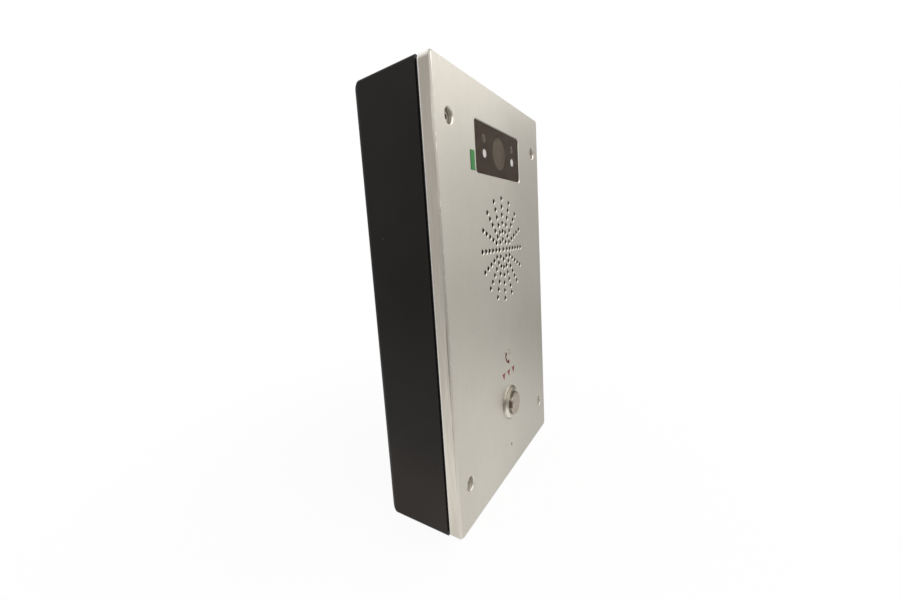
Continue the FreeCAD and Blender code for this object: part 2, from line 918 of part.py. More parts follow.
def camera_board():
    body = plate(
        camera_board_width,
        camera_board_height,
        camera_board_corner_radius,
        camera_board_y,
        camera_board_rear_y,
        z=window_z,
    )
    hole_radius = camera_screw_radius + bolt_gap
    return without(
        body, *cylinders(hole_radius, camera_board_y, camera_board_rear_y, camera_screw_places)
    )


def camera_screw(x, z):
    return slotted_screw(
        x,
        z,
        camera_board_rear_y,
        -1,
        camera_screw_radius,
        camera_screw_length,
        camera_screw_head_radius,
        camera_screw_head_height,
    )


def camera_connector():
    """Plug and header between the camera board and the main board."""
    return block(
        camera_connector_width,
        camera_connector_height,
        camera_board_rear_y,
        board_front_y,
        z=window_z + camera_connector_rise,
    )


def light_pins(x, z, width):
    """Two square bars from a light's base to the board."""
    return [
        block(width, width, light_rear_y, camera_board_y, x + side * light_pin_spacing / 2, z)
        for side in (-1, 1)
    ]


def light(x, z):
    """Round light with a domed tip, a flange and two square pins."""
    side_y = light_tip_y + light_radius
    diagonal = light_radius * math.sqrt(0.5)
    flange_y = light_rear_y - light_flange_height
    body = turned(
        [
            (0.0, light_tip_y),
            (diagonal, side_y - diagonal, light_radius, side_y),
            (light_radius, flange_y),
            (light_flange_radius, flange_y),
            (light_flange_radius, light_rear_y),
            (0.0, light_rear_y),
        ],
        z,
    )
    body.translate(Vector(x, 0, 0))
    return joined(body, *light_pins(x, z, light_pin))


def light_spacer(x, z):
    """Sleeve that holds a light at its height above the board."""
    body = cylinder(light_flange_radius, light_rear_y, camera_board_y, x, z)
    return without(body, *light_pins(x, z, light_pin + 2 * thread_gap))


# Speaker behind the grille


def speaker_mesh():
    """Fine cloth that keeps water and dust out of the grille."""
    return cylinder(speaker_radius, panel_inner_y, mesh_rear_y, z=grille_z)


def speaker_gasket():
    return tube(speaker_radius, gasket_inner_radius, mesh_rear_y, speaker_front_y, z=grille_z)


def speaker_basket():
    """Pressed steel basket with four windows in its cone and a lug for the terminals."""
    inner_radius = magnet_plate_radius - speaker_wall
    body = turned(
        [
            (cone_radius, speaker_front_y),
            (speaker_radius, speaker_front_y),
            (speaker_radius, flange_rear_y),
            (cone_radius + speaker_wall, flange_rear_y),
            (basket_back_radius, basket_rear_y),
            (inner_radius, basket_rear_y),
            (inner_radius, basket_rear_y - speaker_wall),
            (basket_back_radius - speaker_wall, basket_rear_y - speaker_wall),
        ],
        grille_z,
    )
    lug_length = speaker_lug_reach + speaker_flange / 2
    lug_x = speaker_radius + speaker_lug_reach - lug_length / 2
    lug = block(lug_length, speaker_lug_width, speaker_front_y, flange_rear_y, lug_x, grille_z)
    low_y = flange_rear_y + basket_window_margin
    high_y = basket_rear_y - basket_window_margin
    return without(
        joined(body, lug),
        block(2 * speaker_radius, basket_window_width, low_y, high_y, z=grille_z),
        block(basket_window_width, 2 * speaker_radius, low_y, high_y, z=grille_z),
    )


speaker_terminal_x = speaker_radius + speaker_lug_reach - speaker_terminal_width / 2
speaker_terminal_y = flange_rear_y + speaker_terminal_height


def speaker_terminals():
    """Strip on the basket's lug that the leads are soldered to."""
    return block(
        speaker_terminal_width,
        speaker_lug_width,
        flange_rear_y,
        speaker_terminal_y,
        speaker_terminal_x,
        grille_z,
    )


def speaker_cone():
    """Diaphragm with a folded surround, a dust cap and the voice coil's tube."""
    rim_y = speaker_front_y - cone_thickness
    roll_inner = cone_radius - surround_width
    roll_middle = cone_radius - surround_width / 2
    neck_y = speaker_front_y + cone_depth
    cap_y = neck_y - dust_cap_rise
    cap_middle = speaker_coil_radius / 2
    cap_middle_y = cap_y + dome_drop(speaker_coil_radius, dust_cap_rise)
    coil_end_y = basket_rear_y + coil_depth
    coil_outer = speaker_coil_radius + cone_thickness
    return turned(
        [
            (0.0, cap_y),
            (cap_middle, cap_middle_y, speaker_coil_radius, neck_y),
            (roll_inner, rim_y),
            (roll_middle, rim_y + surround_depth),
            (cone_radius, rim_y),
            (cone_radius + cone_rim, rim_y),
            (cone_radius + cone_rim, speaker_front_y),
            (cone_radius, speaker_front_y),
            (roll_middle, speaker_front_y + surround_depth),
            (roll_inner, speaker_front_y),
            (coil_outer, neck_y + cone_thickness),
            (coil_outer, coil_end_y),
            (speaker_coil_radius, coil_end_y),
            (speaker_coil_radius, neck_y + cone_thickness),
            (cap_middle, cap_middle_y + cone_thickness, 0.0, cap_y + cone_thickness),
        ],
        grille_z,
    )


def speaker_magnet():
    """Front plate, ring magnet and back plate round the slot of the voice coil."""
    pole_radius = speaker_coil_radius - coil_gap
    slot_radius = speaker_coil_radius + cone_thickness + coil_gap
    slot_y = basket_rear_y + coil_depth + coil_gap
    front_plate_y = basket_rear_y + magnet_plate_thickness
    bevel_y = magnet_rear_y - magnet_plate_thickness / 2
    return turned(
        [
            (0.0, basket_rear_y),
            (pole_radius, basket_rear_y),
            (pole_radius, slot_y),
            (slot_radius, slot_y),
            (slot_radius, basket_rear_y),
            (magnet_plate_radius, basket_rear_y),
            (magnet_plate_radius, front_plate_y),
            (magnet_radius, front_plate_y),
            (magnet_radius, bevel_y),
            (magnet_plate_radius, magnet_rear_y),
            (0.0, magnet_rear_y),
        ],
        grille_z,
    )


def clamp_arm(x, z):
    """Bar from the middle of the speaker out to one screw place."""
    reach = math.hypot(x, z - grille_z)
    arm = block(reach, 2 * clamp_ear_radius, flange_rear_y, clamp_rear_y, reach / 2)
    arm.rotate(Vector(0, 0, 0), Vector(0, 1, 0), -math.degrees(math.atan2(z - grille_z, x)))
    arm.translate(Vector(0, 0, grille_z))
    return arm


def speaker_clamp():
    """Ring with four rounded ears that presses the speaker's flange to its gasket."""
    outer_radius = clamp_inner_radius + clamp_width
    ring = cylinder(outer_radius, flange_rear_y, clamp_rear_y, z=grille_z)
    arms = [clamp_arm(x, z) for x, z in clamp_screw_places]
    ears = cylinders(clamp_ear_radius, flange_rear_y, clamp_rear_y, clamp_screw_places)
    hole_radius = clamp_screw_radius + bolt_gap
    return without(
        joined(ring, *arms, *ears),
        cylinder(clamp_inner_radius, flange_rear_y, clamp_rear_y, z=grille_z),
        *cylinders(hole_radius, flange_rear_y, clamp_rear_y, clamp_screw_places),
    )


def clamp_screw(x, z):
    return slotted_screw(
        x,
        z,
        clamp_rear_y,
        -1,
        clamp_screw_radius,
        clamp_screw_length,
        clamp_screw_head_radius,
        clamp_screw_head_height,
    )


# Microphone


def microphone_boot():
    """Rubber cup with a sound channel, the capsule's seat and a lip that holds it."""
    outer_radius = microphone_radius + boot_wall
    lip_radius = microphone_radius - boot_lip
    return turned(
        [
            (microphone_hole_radius, panel_inner_y),
            (outer_radius, panel_inner_y),
            (outer_radius, boot_rear_y),
            (lip_radius, boot_rear_y),
            (lip_radius, capsule_rear_y),
            (microphone_radius, capsule_rear_y),
            (microphone_radius, capsule_front_y),
            (microphone_hole_radius, capsule_front_y),
        ],
        microphone_z,
    )


def microphone_capsule():
    return cylinder(microphone_radius, capsule_front_y, capsule_rear_y, z=microphone_z)


# Push button


def button_bush():
    """Bezel with a coned edge on a threaded barrel, with a seal groove underneath."""
    edge_y = panel_face_y - bezel_edge_height
    return turned(
        [
            (guide_radius, bezel_face_y),
            (bezel_radius - bezel_cone_width, bezel_face_y),
            (bezel_radius, edge_y),
            (bezel_radius, panel_face_y),
            (head_seal_outer_radius, panel_face_y),
            (head_seal_outer_radius, head_seal_y),
            (barrel_radius, head_seal_y),
            (barrel_radius, barrel_rear_y),
            (barrel_bore_radius, barrel_rear_y),
            (barrel_bore_radius, guide_end_y),
            (guide_radius, guide_end_y),
        ],
        button_z,
    )


def button_seal():
    """Flat rubber ring in the bezel's underside."""
    return tube(
        head_seal_outer_radius, head_seal_inner_radius, head_seal_y, panel_face_y, z=button_z
    )


def button_washer():
    outer_radius = barrel_radius + washer_width
    inner_radius = barrel_radius + drop_in_gap
    return tube(outer_radius, inner_radius, panel_inner_y, washer_rear_y, z=button_z)


def button_nut():
    body = hexagon(2 * (barrel_radius + nut_wall), washer_rear_y, nut_rear_y, z=button_z)
    return body.cut(cylinder(barrel_radius + thread_gap, washer_rear_y, nut_rear_y, z=button_z))


def button_actuator():
    """Hollow cap with a rounded front edge, a seal groove and a stop flange."""
    edge = actuator_edge_radius
    inset = edge * (1 - math.sqrt(0.5))
    flange_radius = actuator_radius + actuator_flange
    return turned(
        [
            (0.0, actuator_face_y),
            (actuator_radius - edge, actuator_face_y),
            (
                actuator_radius - inset,
                actuator_face_y + inset,
                actuator_radius,
                actuator_face_y + edge,
            ),
            (actuator_radius, groove_front_y),
            (groove_radius, groove_front_y),
            (groove_radius, groove_rear_y),
            (actuator_radius, groove_rear_y),
            (actuator_radius, actuator_flange_y),
            (flange_radius, actuator_flange_y),
            (flange_radius, actuator_rear_y),
            (actuator_bore_radius, actuator_rear_y),
            (actuator_bore_radius, plunger_front_y),
            (0.0, plunger_front_y),
        ],
        button_z,
    )


def actuator_seal():
    """Rubber ring in the actuator's groove."""
    return tube(actuator_radius, groove_radius, groove_front_y, groove_rear_y, z=button_z)


def button_plunger():
    """Plastic core of the actuator, with the pin that carries the contact bridge."""
    body = cylinder(actuator_bore_radius - thread_gap, plunger_front_y, plunger_rear_y, z=button_z)
    pin_end_y = plunger_rear_y + plunger_pin_length
    return joined(body, cylinder(plunger_pin_radius, plunger_rear_y, pin_end_y, z=button_z))


def contact_bridge():
    body = block(bridge_length, bridge_width, plunger_rear_y, bridge_rear_y, z=button_z)
    hole_radius = plunger_pin_radius + thread_gap
    return body.cut(cylinder(hole_radius, plunger_rear_y, bridge_rear_y, z=button_z))


def button_spring():
    seat = spring_seat_gap + spring_wire_radius
    return coil(
        spring_radius,
        spring_wire_radius,
        spring_turns,
        bridge_rear_y + seat,
        base_floor_y - seat,
        button_z,
    )


def switch_base():
    """Plastic plug that closes the barrel, centres the spring and carries the contacts."""
    body_radius = barrel_bore_radius - thread_gap
    spigot_y = base_floor_y - base_spigot_height
    body = joined(
        cylinder(body_radius, base_floor_y, base_rear_y, z=button_z),
        cylinder(barrel_radius - base_flange_step, barrel_rear_y, base_rear_y, z=button_z),
        cylinder(base_spigot_radius, base_floor_y, spigot_y, z=button_z),
    )
    slots = [
        block(terminal_width, terminal_thickness, base_floor_y, base_rear_y, i * terminal_x, button_z)
        for i in (-1, 1)
    ]
    return without(body, *slots)


def switch_terminal(side):
    """Brass blade from its contact, one travel behind the bridge, to its tail."""
    return block(
        terminal_width, terminal_thickness, contact_y, terminal_rear_y, side * terminal_x, button_z
    )


# Main board and what stands on it


def main_board():
    body = plate(
        board_width, board_height, board_corner_radius, board_front_y, board_rear_y, z=board_z
    )
    hole_radius = board_screw_radius + bolt_gap
    return without(body, *cylinders(hole_radius, board_front_y, board_rear_y, board_screw_places))


def standoff(x, z):
    """Hexagonal pillar pressed into the panel by its foot and tapped for a board screw."""
    foot_y = panel_inner_y - standoff_foot_length
    tap_y = board_rear_y - board_screw_length - tapping_allowance
    pillar = hexagon(standoff_across_flats, panel_inner_y, board_front_y, x, z)
    foot = cylinder(standoff_foot_radius, foot_y, panel_inner_y, x, z)
    hole = cylinder(board_screw_radius + thread_gap, tap_y, board_front_y, x, z)
    return joined(pillar, foot).cut(hole)


def board_screw(x, z):
    return slotted_screw(
        x,
        z,
        board_rear_y,
        -1,
        board_screw_radius,
        board_screw_length,
        board_screw_head_radius,
        board_screw_head_height,
    )


def network_jack():
    """Socket whose mouth looks down, with the latch's notch on the board side."""
    rear_y = board_rear_y + jack_height
    notch_y = board_rear_y + jack_socket_floor
    socket_y = notch_y + jack_latch_height
    socket_z = board_bottom_z + jack_socket_depth / 2
    body = block(
        jack_width, jack_length, board_rear_y, rear_y, jack_x, board_bottom_z + jack_length / 2
    )
    return without(
        body,
        block(
            jack_socket_width,
            jack_socket_depth,
            socket_y,
            socket_y + jack_socket_height,
            jack_x,
            socket_z,
        ),
        block(jack_latch_width, jack_socket_depth, notch_y, socket_y, jack_x, socket_z),
    )


def terminal_block():
    """Screw terminals for the supply and the lock, with wire entries below."""
    width = terminal_block_ways * terminal_block_pitch
    centre_z = board_bottom_z + terminal_block_length / 2
    entry_z = board_bottom_z + terminal_entry_depth / 2
    entry_y = board_rear_y + terminal_entry / 2
    rear_y = board_rear_y + terminal_block_height
    well_y = rear_y - terminal_well_depth
    cuts = []
    for k in range(terminal_block_ways):
        x = terminal_block_x + (k - (terminal_block_ways - 1) / 2) * terminal_block_pitch
        cuts.append(
            block(terminal_entry, terminal_entry_depth, entry_y, entry_y + terminal_entry, x, entry_z)
        )
        cuts.append(cylinder(terminal_well_radius, well_y, rear_y, x, centre_z))
    body = block(width, terminal_block_length, board_rear_y, rear_y, terminal_block_x, centre_z)
    return without(body, *cuts)


def lock_relay():
    rear_y = board_rear_y + relay_height
    return block(relay_width, relay_length, board_rear_y, rear_y, relay_x, board_z + relay_rise)


processor_rear_y = board_rear_y + processor_thickness
processor_z = board_z + processor_rise


def processor():
    return block(
        processor_size, processor_size, board_rear_y, processor_rear_y, processor_x, processor_z
    )


def heat_sink():
    fin_y = processor_rear_y + heat_sink_base
    tip_y = fin_y + heat_sink_fin_height
    base = block(
        heat_sink_size, heat_sink_size, processor_rear_y, fin_y, processor_x, processor_z
    )
    step = (heat_sink_size - heat_sink_fin_thickness) / (heat_sink_fins - 1)
    fins = []
    for k in range(heat_sink_fins):
        x = processor_x + (k - (heat_sink_fins - 1) / 2) * step
        fins.append(block(heat_sink_fin_thickness, heat_sink_size, fin_y, tip_y, x, processor_z))
    return joined(base, *fins)


def capacitor(k):
    rear_y = board_rear_y + capacitor_height
    z = board_z + capacitor_rise + k * capacitor_spacing
    return cylinder(capacitor_radius, board_rear_y, rear_y, capacitor_x, z)


header_middle_y = board_rear_y + header_height / 2
header_low_z = board_bottom_z + header_length / 2


def bottom_header(x):
    """Plug-in header at the board's lower edge, entered from below."""
    rear_y = board_rear_y + header_height
    return block(header_width, header_length, board_rear_y, rear_y, x, header_low_z)


def side_header():
    """Plug-in header at the board's right edge, entered from the side."""
    rear_y = board_rear_y + header_height
    x = (board_width - header_length) / 2
    return block(header_length, header_width, board_rear_y, rear_y, x, grille_z)


# Leads, each a pair of round wires


def button_lead(side):
    """From a switch terminal round to the button's header."""
    turn_y = terminal_rear_y + button_lead_reach
    start_x = side * terminal_x
    end_x = button_header_x + side * header_pin_pitch / 2
    return round_wire(
        [
            Vector(start_x, terminal_rear_y, button_z),
            Vector(start_x, turn_y, button_z),
            Vector(end_x, header_middle_y, board_bottom_z - header_approach),
            Vector(end_x, header_middle_y, board_bottom_z),
        ],
        lead_radius,
    )


def microphone_lead(side):
    """From the capsule past the button to the microphone's header."""
    start_x = side * header_pin_pitch / 2
    end_x = microphone_header_x + side * header_pin_pitch / 2
    return round_wire(
        [
            Vector(start_x, capsule_rear_y, microphone_z),
            Vector(start_x, capsule_rear_y + microphone_lead_reach, microphone_z),
            Vector(end_x, header_middle_y, board_bottom_z - microphone_lead_drop),
            Vector(end_x, header_middle_y, board_bottom_z),
        ],
        lead_radius,
    )


def speaker_lead(side):
    """From the speaker's terminals round the board's edge to the speaker's header."""
    z = grille_z + side * header_pin_pitch / 2
    turn_x = board_width / 2 + board_edge_gap
    leave_y = speaker_terminal_y + speaker_lead_reach
    return round_wire(
        [
            Vector(speaker_terminal_x, speaker_terminal_y, z),
            Vector(speaker_terminal_x, leave_y, z),
            Vector(turn_x, (leave_y + header_middle_y) / 2, z),
            Vector(turn_x, header_middle_y, z),
            Vector(board_width / 2, header_middle_y, z),
        ],
        lead_radius,
    )


# Write every node

os.makedirs("parts", exist_ok=True)

save("front_panel", front_panel())
save("back_box", back_box())
save("panel_gasket", panel_gasket())
save("panel_screws", *[panel_screw(x, z) for x, z in panel_screw_places])
save("cable_grommet", cable_grommet())
save("earth_screw", earth_screw())

save("window_adhesive", window_adhesive())
save("camera_window", camera_window())
save("window_film", window_film())
save("film_pull_tab", film_pull_tab())
save("lens_baffle", lens_baffle())
save("lens_holder", lens_holder())
save("lens_barrel", lens_barrel())
save("lens_glass", lens_glass())
save("image_sensor", image_sensor())
save("camera_board", camera_board())
save("camera_screws", *[camera_screw(x, z) for x, z in camera_screw_places])
save("camera_connector", camera_connector())
save("white_leds", *[light(x, z) for x, z in white_light_places])
save("infrared_leds", *[light(x, z) for x, z in infrared_light_places])
save("led_spacers", *[light_spacer(x, z) for x, z in white_light_places + infrared_light_places])

save("speaker_mesh", speaker_mesh())
save("speaker_gasket", speaker_gasket())
save("speaker_basket", speaker_basket())
save("speaker_terminals", speaker_terminals())
save("speaker_cone", speaker_cone())
save("speaker_magnet", speaker_magnet())
save("speaker_clamp", speaker_clamp())
save("speaker_screws", *[clamp_screw(x, z) for x, z in clamp_screw_places])
save("speaker_leads", *[speaker_lead(side) for side in (-1, 1)])

save("microphone_boot", microphone_boot())
save("microphone_capsule", microphone_capsule())
save("microphone_leads", *[microphone_lead(side) for side in (-1, 1)])

save("button_bush", button_bush())
save("button_seal", button_seal())
save("button_washer", button_washer())
save("button_nut", button_nut())
save("button_actuator", button_actuator())
save("actuator_seal", actuator_seal())
save("button_plunger", button_plunger())
save("contact_bridge", contact_bridge())
save("button_spring", button_spring())
save("switch_base", switch_base())
save("switch_terminals", *[switch_terminal(side) for side in (-1, 1)])
save("button_leads", *[button_lead(side) for side in (-1, 1)])

save("main_board", main_board())
save("board_standoffs", *[standoff(x, z) for x, z in board_screw_places])
save("board_screws", *[board_screw(x, z) for x, z in board_screw_places])
save("network_jack", network_jack())
save("terminal_block", terminal_block())
save("lock_relay", lock_relay())
save("processor", processor())
save("heat_sink", heat_sink())
save("capacitors", *[capacitor(k) for k in range(capacitor_count)])
save(
    "lead_headers",
    bottom_header(button_header_x),
    bottom_header(microphone_header_x),
    side_header(),
)
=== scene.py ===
import json
import math

import bmesh
import bpy
from mathutils import Matrix, Vector


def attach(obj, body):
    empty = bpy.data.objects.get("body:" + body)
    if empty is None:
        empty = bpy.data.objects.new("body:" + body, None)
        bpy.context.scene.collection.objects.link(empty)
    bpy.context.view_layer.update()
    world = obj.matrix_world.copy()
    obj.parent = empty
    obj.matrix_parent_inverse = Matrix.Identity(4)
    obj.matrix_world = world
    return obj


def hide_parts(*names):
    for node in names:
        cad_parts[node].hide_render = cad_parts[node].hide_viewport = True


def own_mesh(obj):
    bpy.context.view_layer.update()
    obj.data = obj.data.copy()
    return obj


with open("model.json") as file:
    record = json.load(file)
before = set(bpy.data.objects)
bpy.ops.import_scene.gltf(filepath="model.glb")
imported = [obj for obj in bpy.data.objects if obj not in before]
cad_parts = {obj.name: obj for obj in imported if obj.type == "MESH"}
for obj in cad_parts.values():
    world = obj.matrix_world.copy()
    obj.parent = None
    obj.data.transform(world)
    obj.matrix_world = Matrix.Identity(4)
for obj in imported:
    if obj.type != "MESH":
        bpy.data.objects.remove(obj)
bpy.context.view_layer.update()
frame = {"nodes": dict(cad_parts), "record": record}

# The model is in metres; sizes below are written in millimetres and scaled by mm.
mm = 0.001

nodes = frame["nodes"]
slot_of = {s["node"]: s["material_slot"] for s in frame["record"]["subparts"]}
scene = bpy.context.scene

# Where the part has its faces and centres
panel_face_y = -38.0
panel_half_width = 61.0
panel_half_height = 97.5
window_z = 69.45
grille_z = 23.4
button_z = -58.0
microphone_z = -82.3
floor_z = -97.5

# Levels between which most of a noise lies, nearly all of it, and its lower part
usual_levels = (0.3, 0.7)
wide_levels = (0.2, 0.8)
lower_levels = (0.3, 0.6)

# Distances between a tree's nodes in the editor, and how many stand in a row
node_spacing = (220, -260)
nodes_per_row = 8

# Azimuths in degrees, anticlockwise from the part's right
behind_camera_azimuth = -120.0
right_front_azimuth = -42.0
card_azimuth = -46.0
wedge_azimuth = -8.0
dark_wall_azimuth = -6.0


# Node trees


class Tree:
    """A material's or world's node tree, built by short calls."""

    def __init__(self, owner):
        owner.use_nodes = True
        self.tree = owner.node_tree
        self.tree.nodes.clear()

    def add(self, kind, settings=None, **inputs):
        """A node with its properties set, and its inputs set or linked by name."""
        row, column = divmod(len(self.tree.nodes), nodes_per_row)
        node = self.tree.nodes.new(kind)
        node.location = (node_spacing[0] * column, node_spacing[1] * row)
        for name, value in (settings or {}).items():
            setattr(node, name, value)
        for name, value in inputs.items():
            self.feed(node, name, value)
        return node

    def feed(self, node, name, value):
        """Set one input, or link an output socket to it. Names like i0 are inputs by number."""
        key = int(name[1:]) if name[0] == "i" and name[1:].isdigit() else name.replace("_", " ")
        socket = node.inputs[key]
        if isinstance(value, bpy.types.NodeSocket):
            self.tree.links.new(value, socket)
        else:
            socket.default_value = value

    # Sums

    def math(self, operation, a, b=0.0):
        return self.add("ShaderNodeMath", {"operation": operation}, i0=a, i1=b).outputs[0]

    def chain(self, operation, first, *others):
        """One operation over several values, from the left."""
        for other in others:
            first = self.math(operation, first, other)
        return first

    def product(self, *values):
        return self.chain("MULTIPLY", *values)

    def total(self, *values):
        return self.chain("ADD", *values)

    def largest(self, *values):
        return self.chain("MAXIMUM", *values)

    def rest(self, share):
        """What a share leaves of one."""
        return self.math("SUBTRACT", 1.0, share)

    def less(self, value, size):
        """A length in metres less a size in millimetres."""
        return self.math("SUBTRACT", value, size * mm)

    def above(self, value, size):
        """One where a length in metres is over a size in millimetres."""
        return self.math("GREATER_THAN", value, size * mm)

    def below(self, value, size):
        """One where a length in metres is under a size in millimetres."""
        return self.math("LESS_THAN", value, size * mm)

    def distance(self, a, b):
        """How far from the origin a place lies, from its two coordinates."""
        return self.math("SQRT", self.total(self.product(a, a), self.product(b, b)))

    def along(self, x, y, azimuth):
        """How far a place or direction lies towards an azimuth in degrees."""
        turn = math.radians(azimuth)
        return self.total(self.product(x, math.cos(turn)), self.product(y, math.sin(turn)))

    # Coordinates and patterns

    def coordinates(self):
        """The object's own coordinates, in metres."""
        return self.add("ShaderNodeTexCoord").outputs["Object"]

    def place_xyz(self):
        """The same, followed by each of the three as a socket of its own."""
        coordinates = self.coordinates()
        parts = self.add("ShaderNodeSeparateXYZ", Vector=coordinates)
        return coordinates, parts.outputs[0], parts.outputs[1], parts.outputs[2]

    def noise(self, coordinates, size, detail=2.0, rough=0.5, stretch=None):
        """Noise whose features are about the given size in millimetres."""
        if stretch:
            settings = {"operation": "MULTIPLY"}
            coordinates = self.add(
                "ShaderNodeVectorMath", settings, i0=coordinates, i1=stretch
            ).outputs[0]
        return self.add(
            "ShaderNodeTexNoise",
            Vector=coordinates,
            Scale=1.0 / (size * mm),
            Detail=detail,
            Roughness=rough,
        ).outputs["Fac"]

    # Ramps

    def remap(self, value, span, before=0.0, after=1.0, kind="LINEAR"):
        """A level that goes from one value to another while its input crosses a span."""
        return self.add(
            "ShaderNodeMapRange",
            {"interpolation_type": kind},
            Value=value,
            From_Min=span[0],
            From_Max=span[1],
            To_Min=before,
            To_Max=after,
        ).outputs["Result"]

    def ease(self, value, span, before=0.0, after=1.0):
        """The same with a soft start and end."""
        return self.remap(value, span, before, after, "SMOOTHSTEP")

    def fade(self, value, zone, before=0.0, after=1.0):
        """The same as remap, for a length in metres and a zone in millimetres."""
        return self.remap(value, (zone[0] * mm, zone[1] * mm), before, after)

    def vary(self, noise, low=0.0, high=1.0):
        """A level between two values that follows a noise."""
        return self.remap(noise, usual_levels, low, high)

    def band(self, value, zone, soft=0.02):
        """One where a length in metres lies in a zone in millimetres, with soft ends."""
        low, high = zone
        entered = self.fade(value, (low - soft, low + soft))
        return self.product(entered, self.fade(value, (high - soft, high + soft), 1.0, 0.0))

    def disc(self, x, z, centre, radius, soft=0.12):
        """One inside a circle on the panel, with a soft edge; its sizes are in millimetres."""
        reach = self.distance(self.less(x, centre[0]), self.less(z, centre[1]))
        return self.fade(reach, (radius - soft, radius + soft), 1.0, 0.0)

    # Colours and surfaces

    def mix(self, share, a, b):
        """Colour a to colour b by a share."""
        node = self.add("ShaderNodeMix", {"data_type": "RGBA"})
        for socket, value in ((node.inputs[0], share), (node.inputs[6], a), (node.inputs[7], b)):
            if isinstance(value, bpy.types.NodeSocket):
                self.tree.links.new(value, socket)
            else:
                socket.default_value = (*value, 1.0)
        return node.outputs[2]

    def layers(self, colour, *layers):
        """A colour with others laid over it in turn, each given as its share and itself."""
        for share, other in layers:
            colour = self.mix(share, colour, other)
        return colour

    def shade(self, colour, *levels):
        """A colour times grey levels."""
        settings = {"operation": "SCALE"}
        level = self.product(*levels)
        return self.add("ShaderNodeVectorMath", settings, i0=colour, Scale=level).outputs[0]

    def bump(self, height, depth, strength=1.0):
        """Bump of the given depth in millimetres."""
        return self.add(
            "ShaderNodeBump", Height=height, Distance=depth * mm, Strength=strength
        ).outputs["Normal"]

    def surface(self, **inputs):
        """Principled surface as the material's output."""
        shader = self.add("ShaderNodeBsdfPrincipled", **inputs).outputs[0]
        self.add("ShaderNodeOutputMaterial", Surface=shader)


def material(name):
    made = bpy.data.materials.new(name)
    return made, Tree(made)


def darker(colour, share):
    return tuple(share * c for c in colour)


# The panel. Its zones are in millimetres along its width (x), its height (z) or its depth behind
# the face. A zone with the larger number first is crossed from there.


def blasted_face(t, co, x, z, grain, cloud):
    """Blasted metal, scuffed in patches, with painted shade that darkens the panel's right side."""
    dark, light, scuffed = (0.55, 0.523, 0.458), (0.655, 0.623, 0.548), (0.40, 0.37, 0.31)
    scuff_levels, patch_levels = (0.66, 0.72), (0.56, 0.66)
    right_part, middle_part, top_part = (2.0, 22.0), (-25.0, 35.0), (82.0, 96.0)
    skin = t.shade(t.mix(t.vary(grain), dark, light), t.vary(cloud, low=0.95))
    scuffs = t.noise(co, size=1.6, detail=5.0, rough=0.8, stretch=(1.0, 1.0, 0.08))
    patches = t.noise(co, size=22.0, detail=1.0, rough=0.4)
    scuffs = t.product(t.remap(scuffs, scuff_levels), t.remap(patches, patch_levels, after=0.35))
    # Painted shade: the right side is darkened, less so low down and near the top edge
    right_shade = t.product(
        t.fade(x, right_part, after=0.115),
        t.fade(z, middle_part, before=0.35),
        t.fade(z, top_part, before=1.0, after=0.4),
    )
    return t.shade(t.mix(scuffs, skin, scuffed), t.rest(right_shade))


def milled_side(t, co, z, stain):
    """Milled metal with streaks that run round the panel, with painted light and shade by height
    and a painted highlight along its top edge.
    """
    dark, light = (0.57, 0.530, 0.460), (0.71, 0.668, 0.590)
    stained, bright = (0.60, 0.540, 0.470), (0.92, 0.89, 0.84)
    upper_part, lower_part, foot, tip = (64.0, 93.0), (-25.0, -62.0), (-72.0, -96.0), (94.6, 96.0)
    streaks = t.noise(co, size=0.5, detail=3.0, rough=0.7, stretch=(0.03, 1.0, 0.03))
    # Painted shade darkens the upper part and the foot, and painted light brightens the part below
    # the middle
    side = t.shade(
        t.mix(stain, t.mix(t.vary(streaks), dark, light), stained),
        t.fade(z, upper_part, before=1.0, after=0.84),
        t.fade(z, lower_part, before=1.0, after=1.15),
        t.fade(z, foot, before=1.0, after=0.81),
    )
    # A painted highlight along the top edge
    return t.mix(t.fade(z, tip, after=0.8), side, bright)


def shaded_chamfer(t, z, stain):
    """The chamfer's metal, with painted light and shade: lighter towards the panel's foot, darker
    towards its top.
    """
    clean, stained = (0.625, 0.597, 0.530), (0.605, 0.577, 0.510)
    main_part, upper_part = (-90.0, 45.0), (45.0, 80.0)
    # Painted light and shade by height
    return t.shade(
        t.mix(stain, clean, stained),
        t.fade(z, main_part, before=1.08, after=0.80),
        t.fade(z, upper_part, before=1.0, after=0.91),
    )


def worn_and_highlit_edges(t, co, z, depth, rim):
    """How far the chamfer's front edge and the panel's rear edge are made bright: partly wear,
    partly a painted highlight that is strongest on the front edge near the top.
    """
    front_edge, rear_edge = (0.02, 0.17), (5.02, 5.60)
    top_part, lower_part = (84.0, 93.0), (-95.0, -50.0)
    wear_levels = (0.35, 0.6)
    front = t.product(t.band(depth, front_edge), t.fade(z, top_part, before=0.12, after=0.9))
    rear = t.product(t.band(depth, rear_edge), t.fade(z, lower_part, before=0.25))
    wear = t.remap(t.noise(co, size=2.5, detail=3.0, rough=0.6), wear_levels, before=0.55)
    return t.product(t.largest(front, rear), rim, wear)


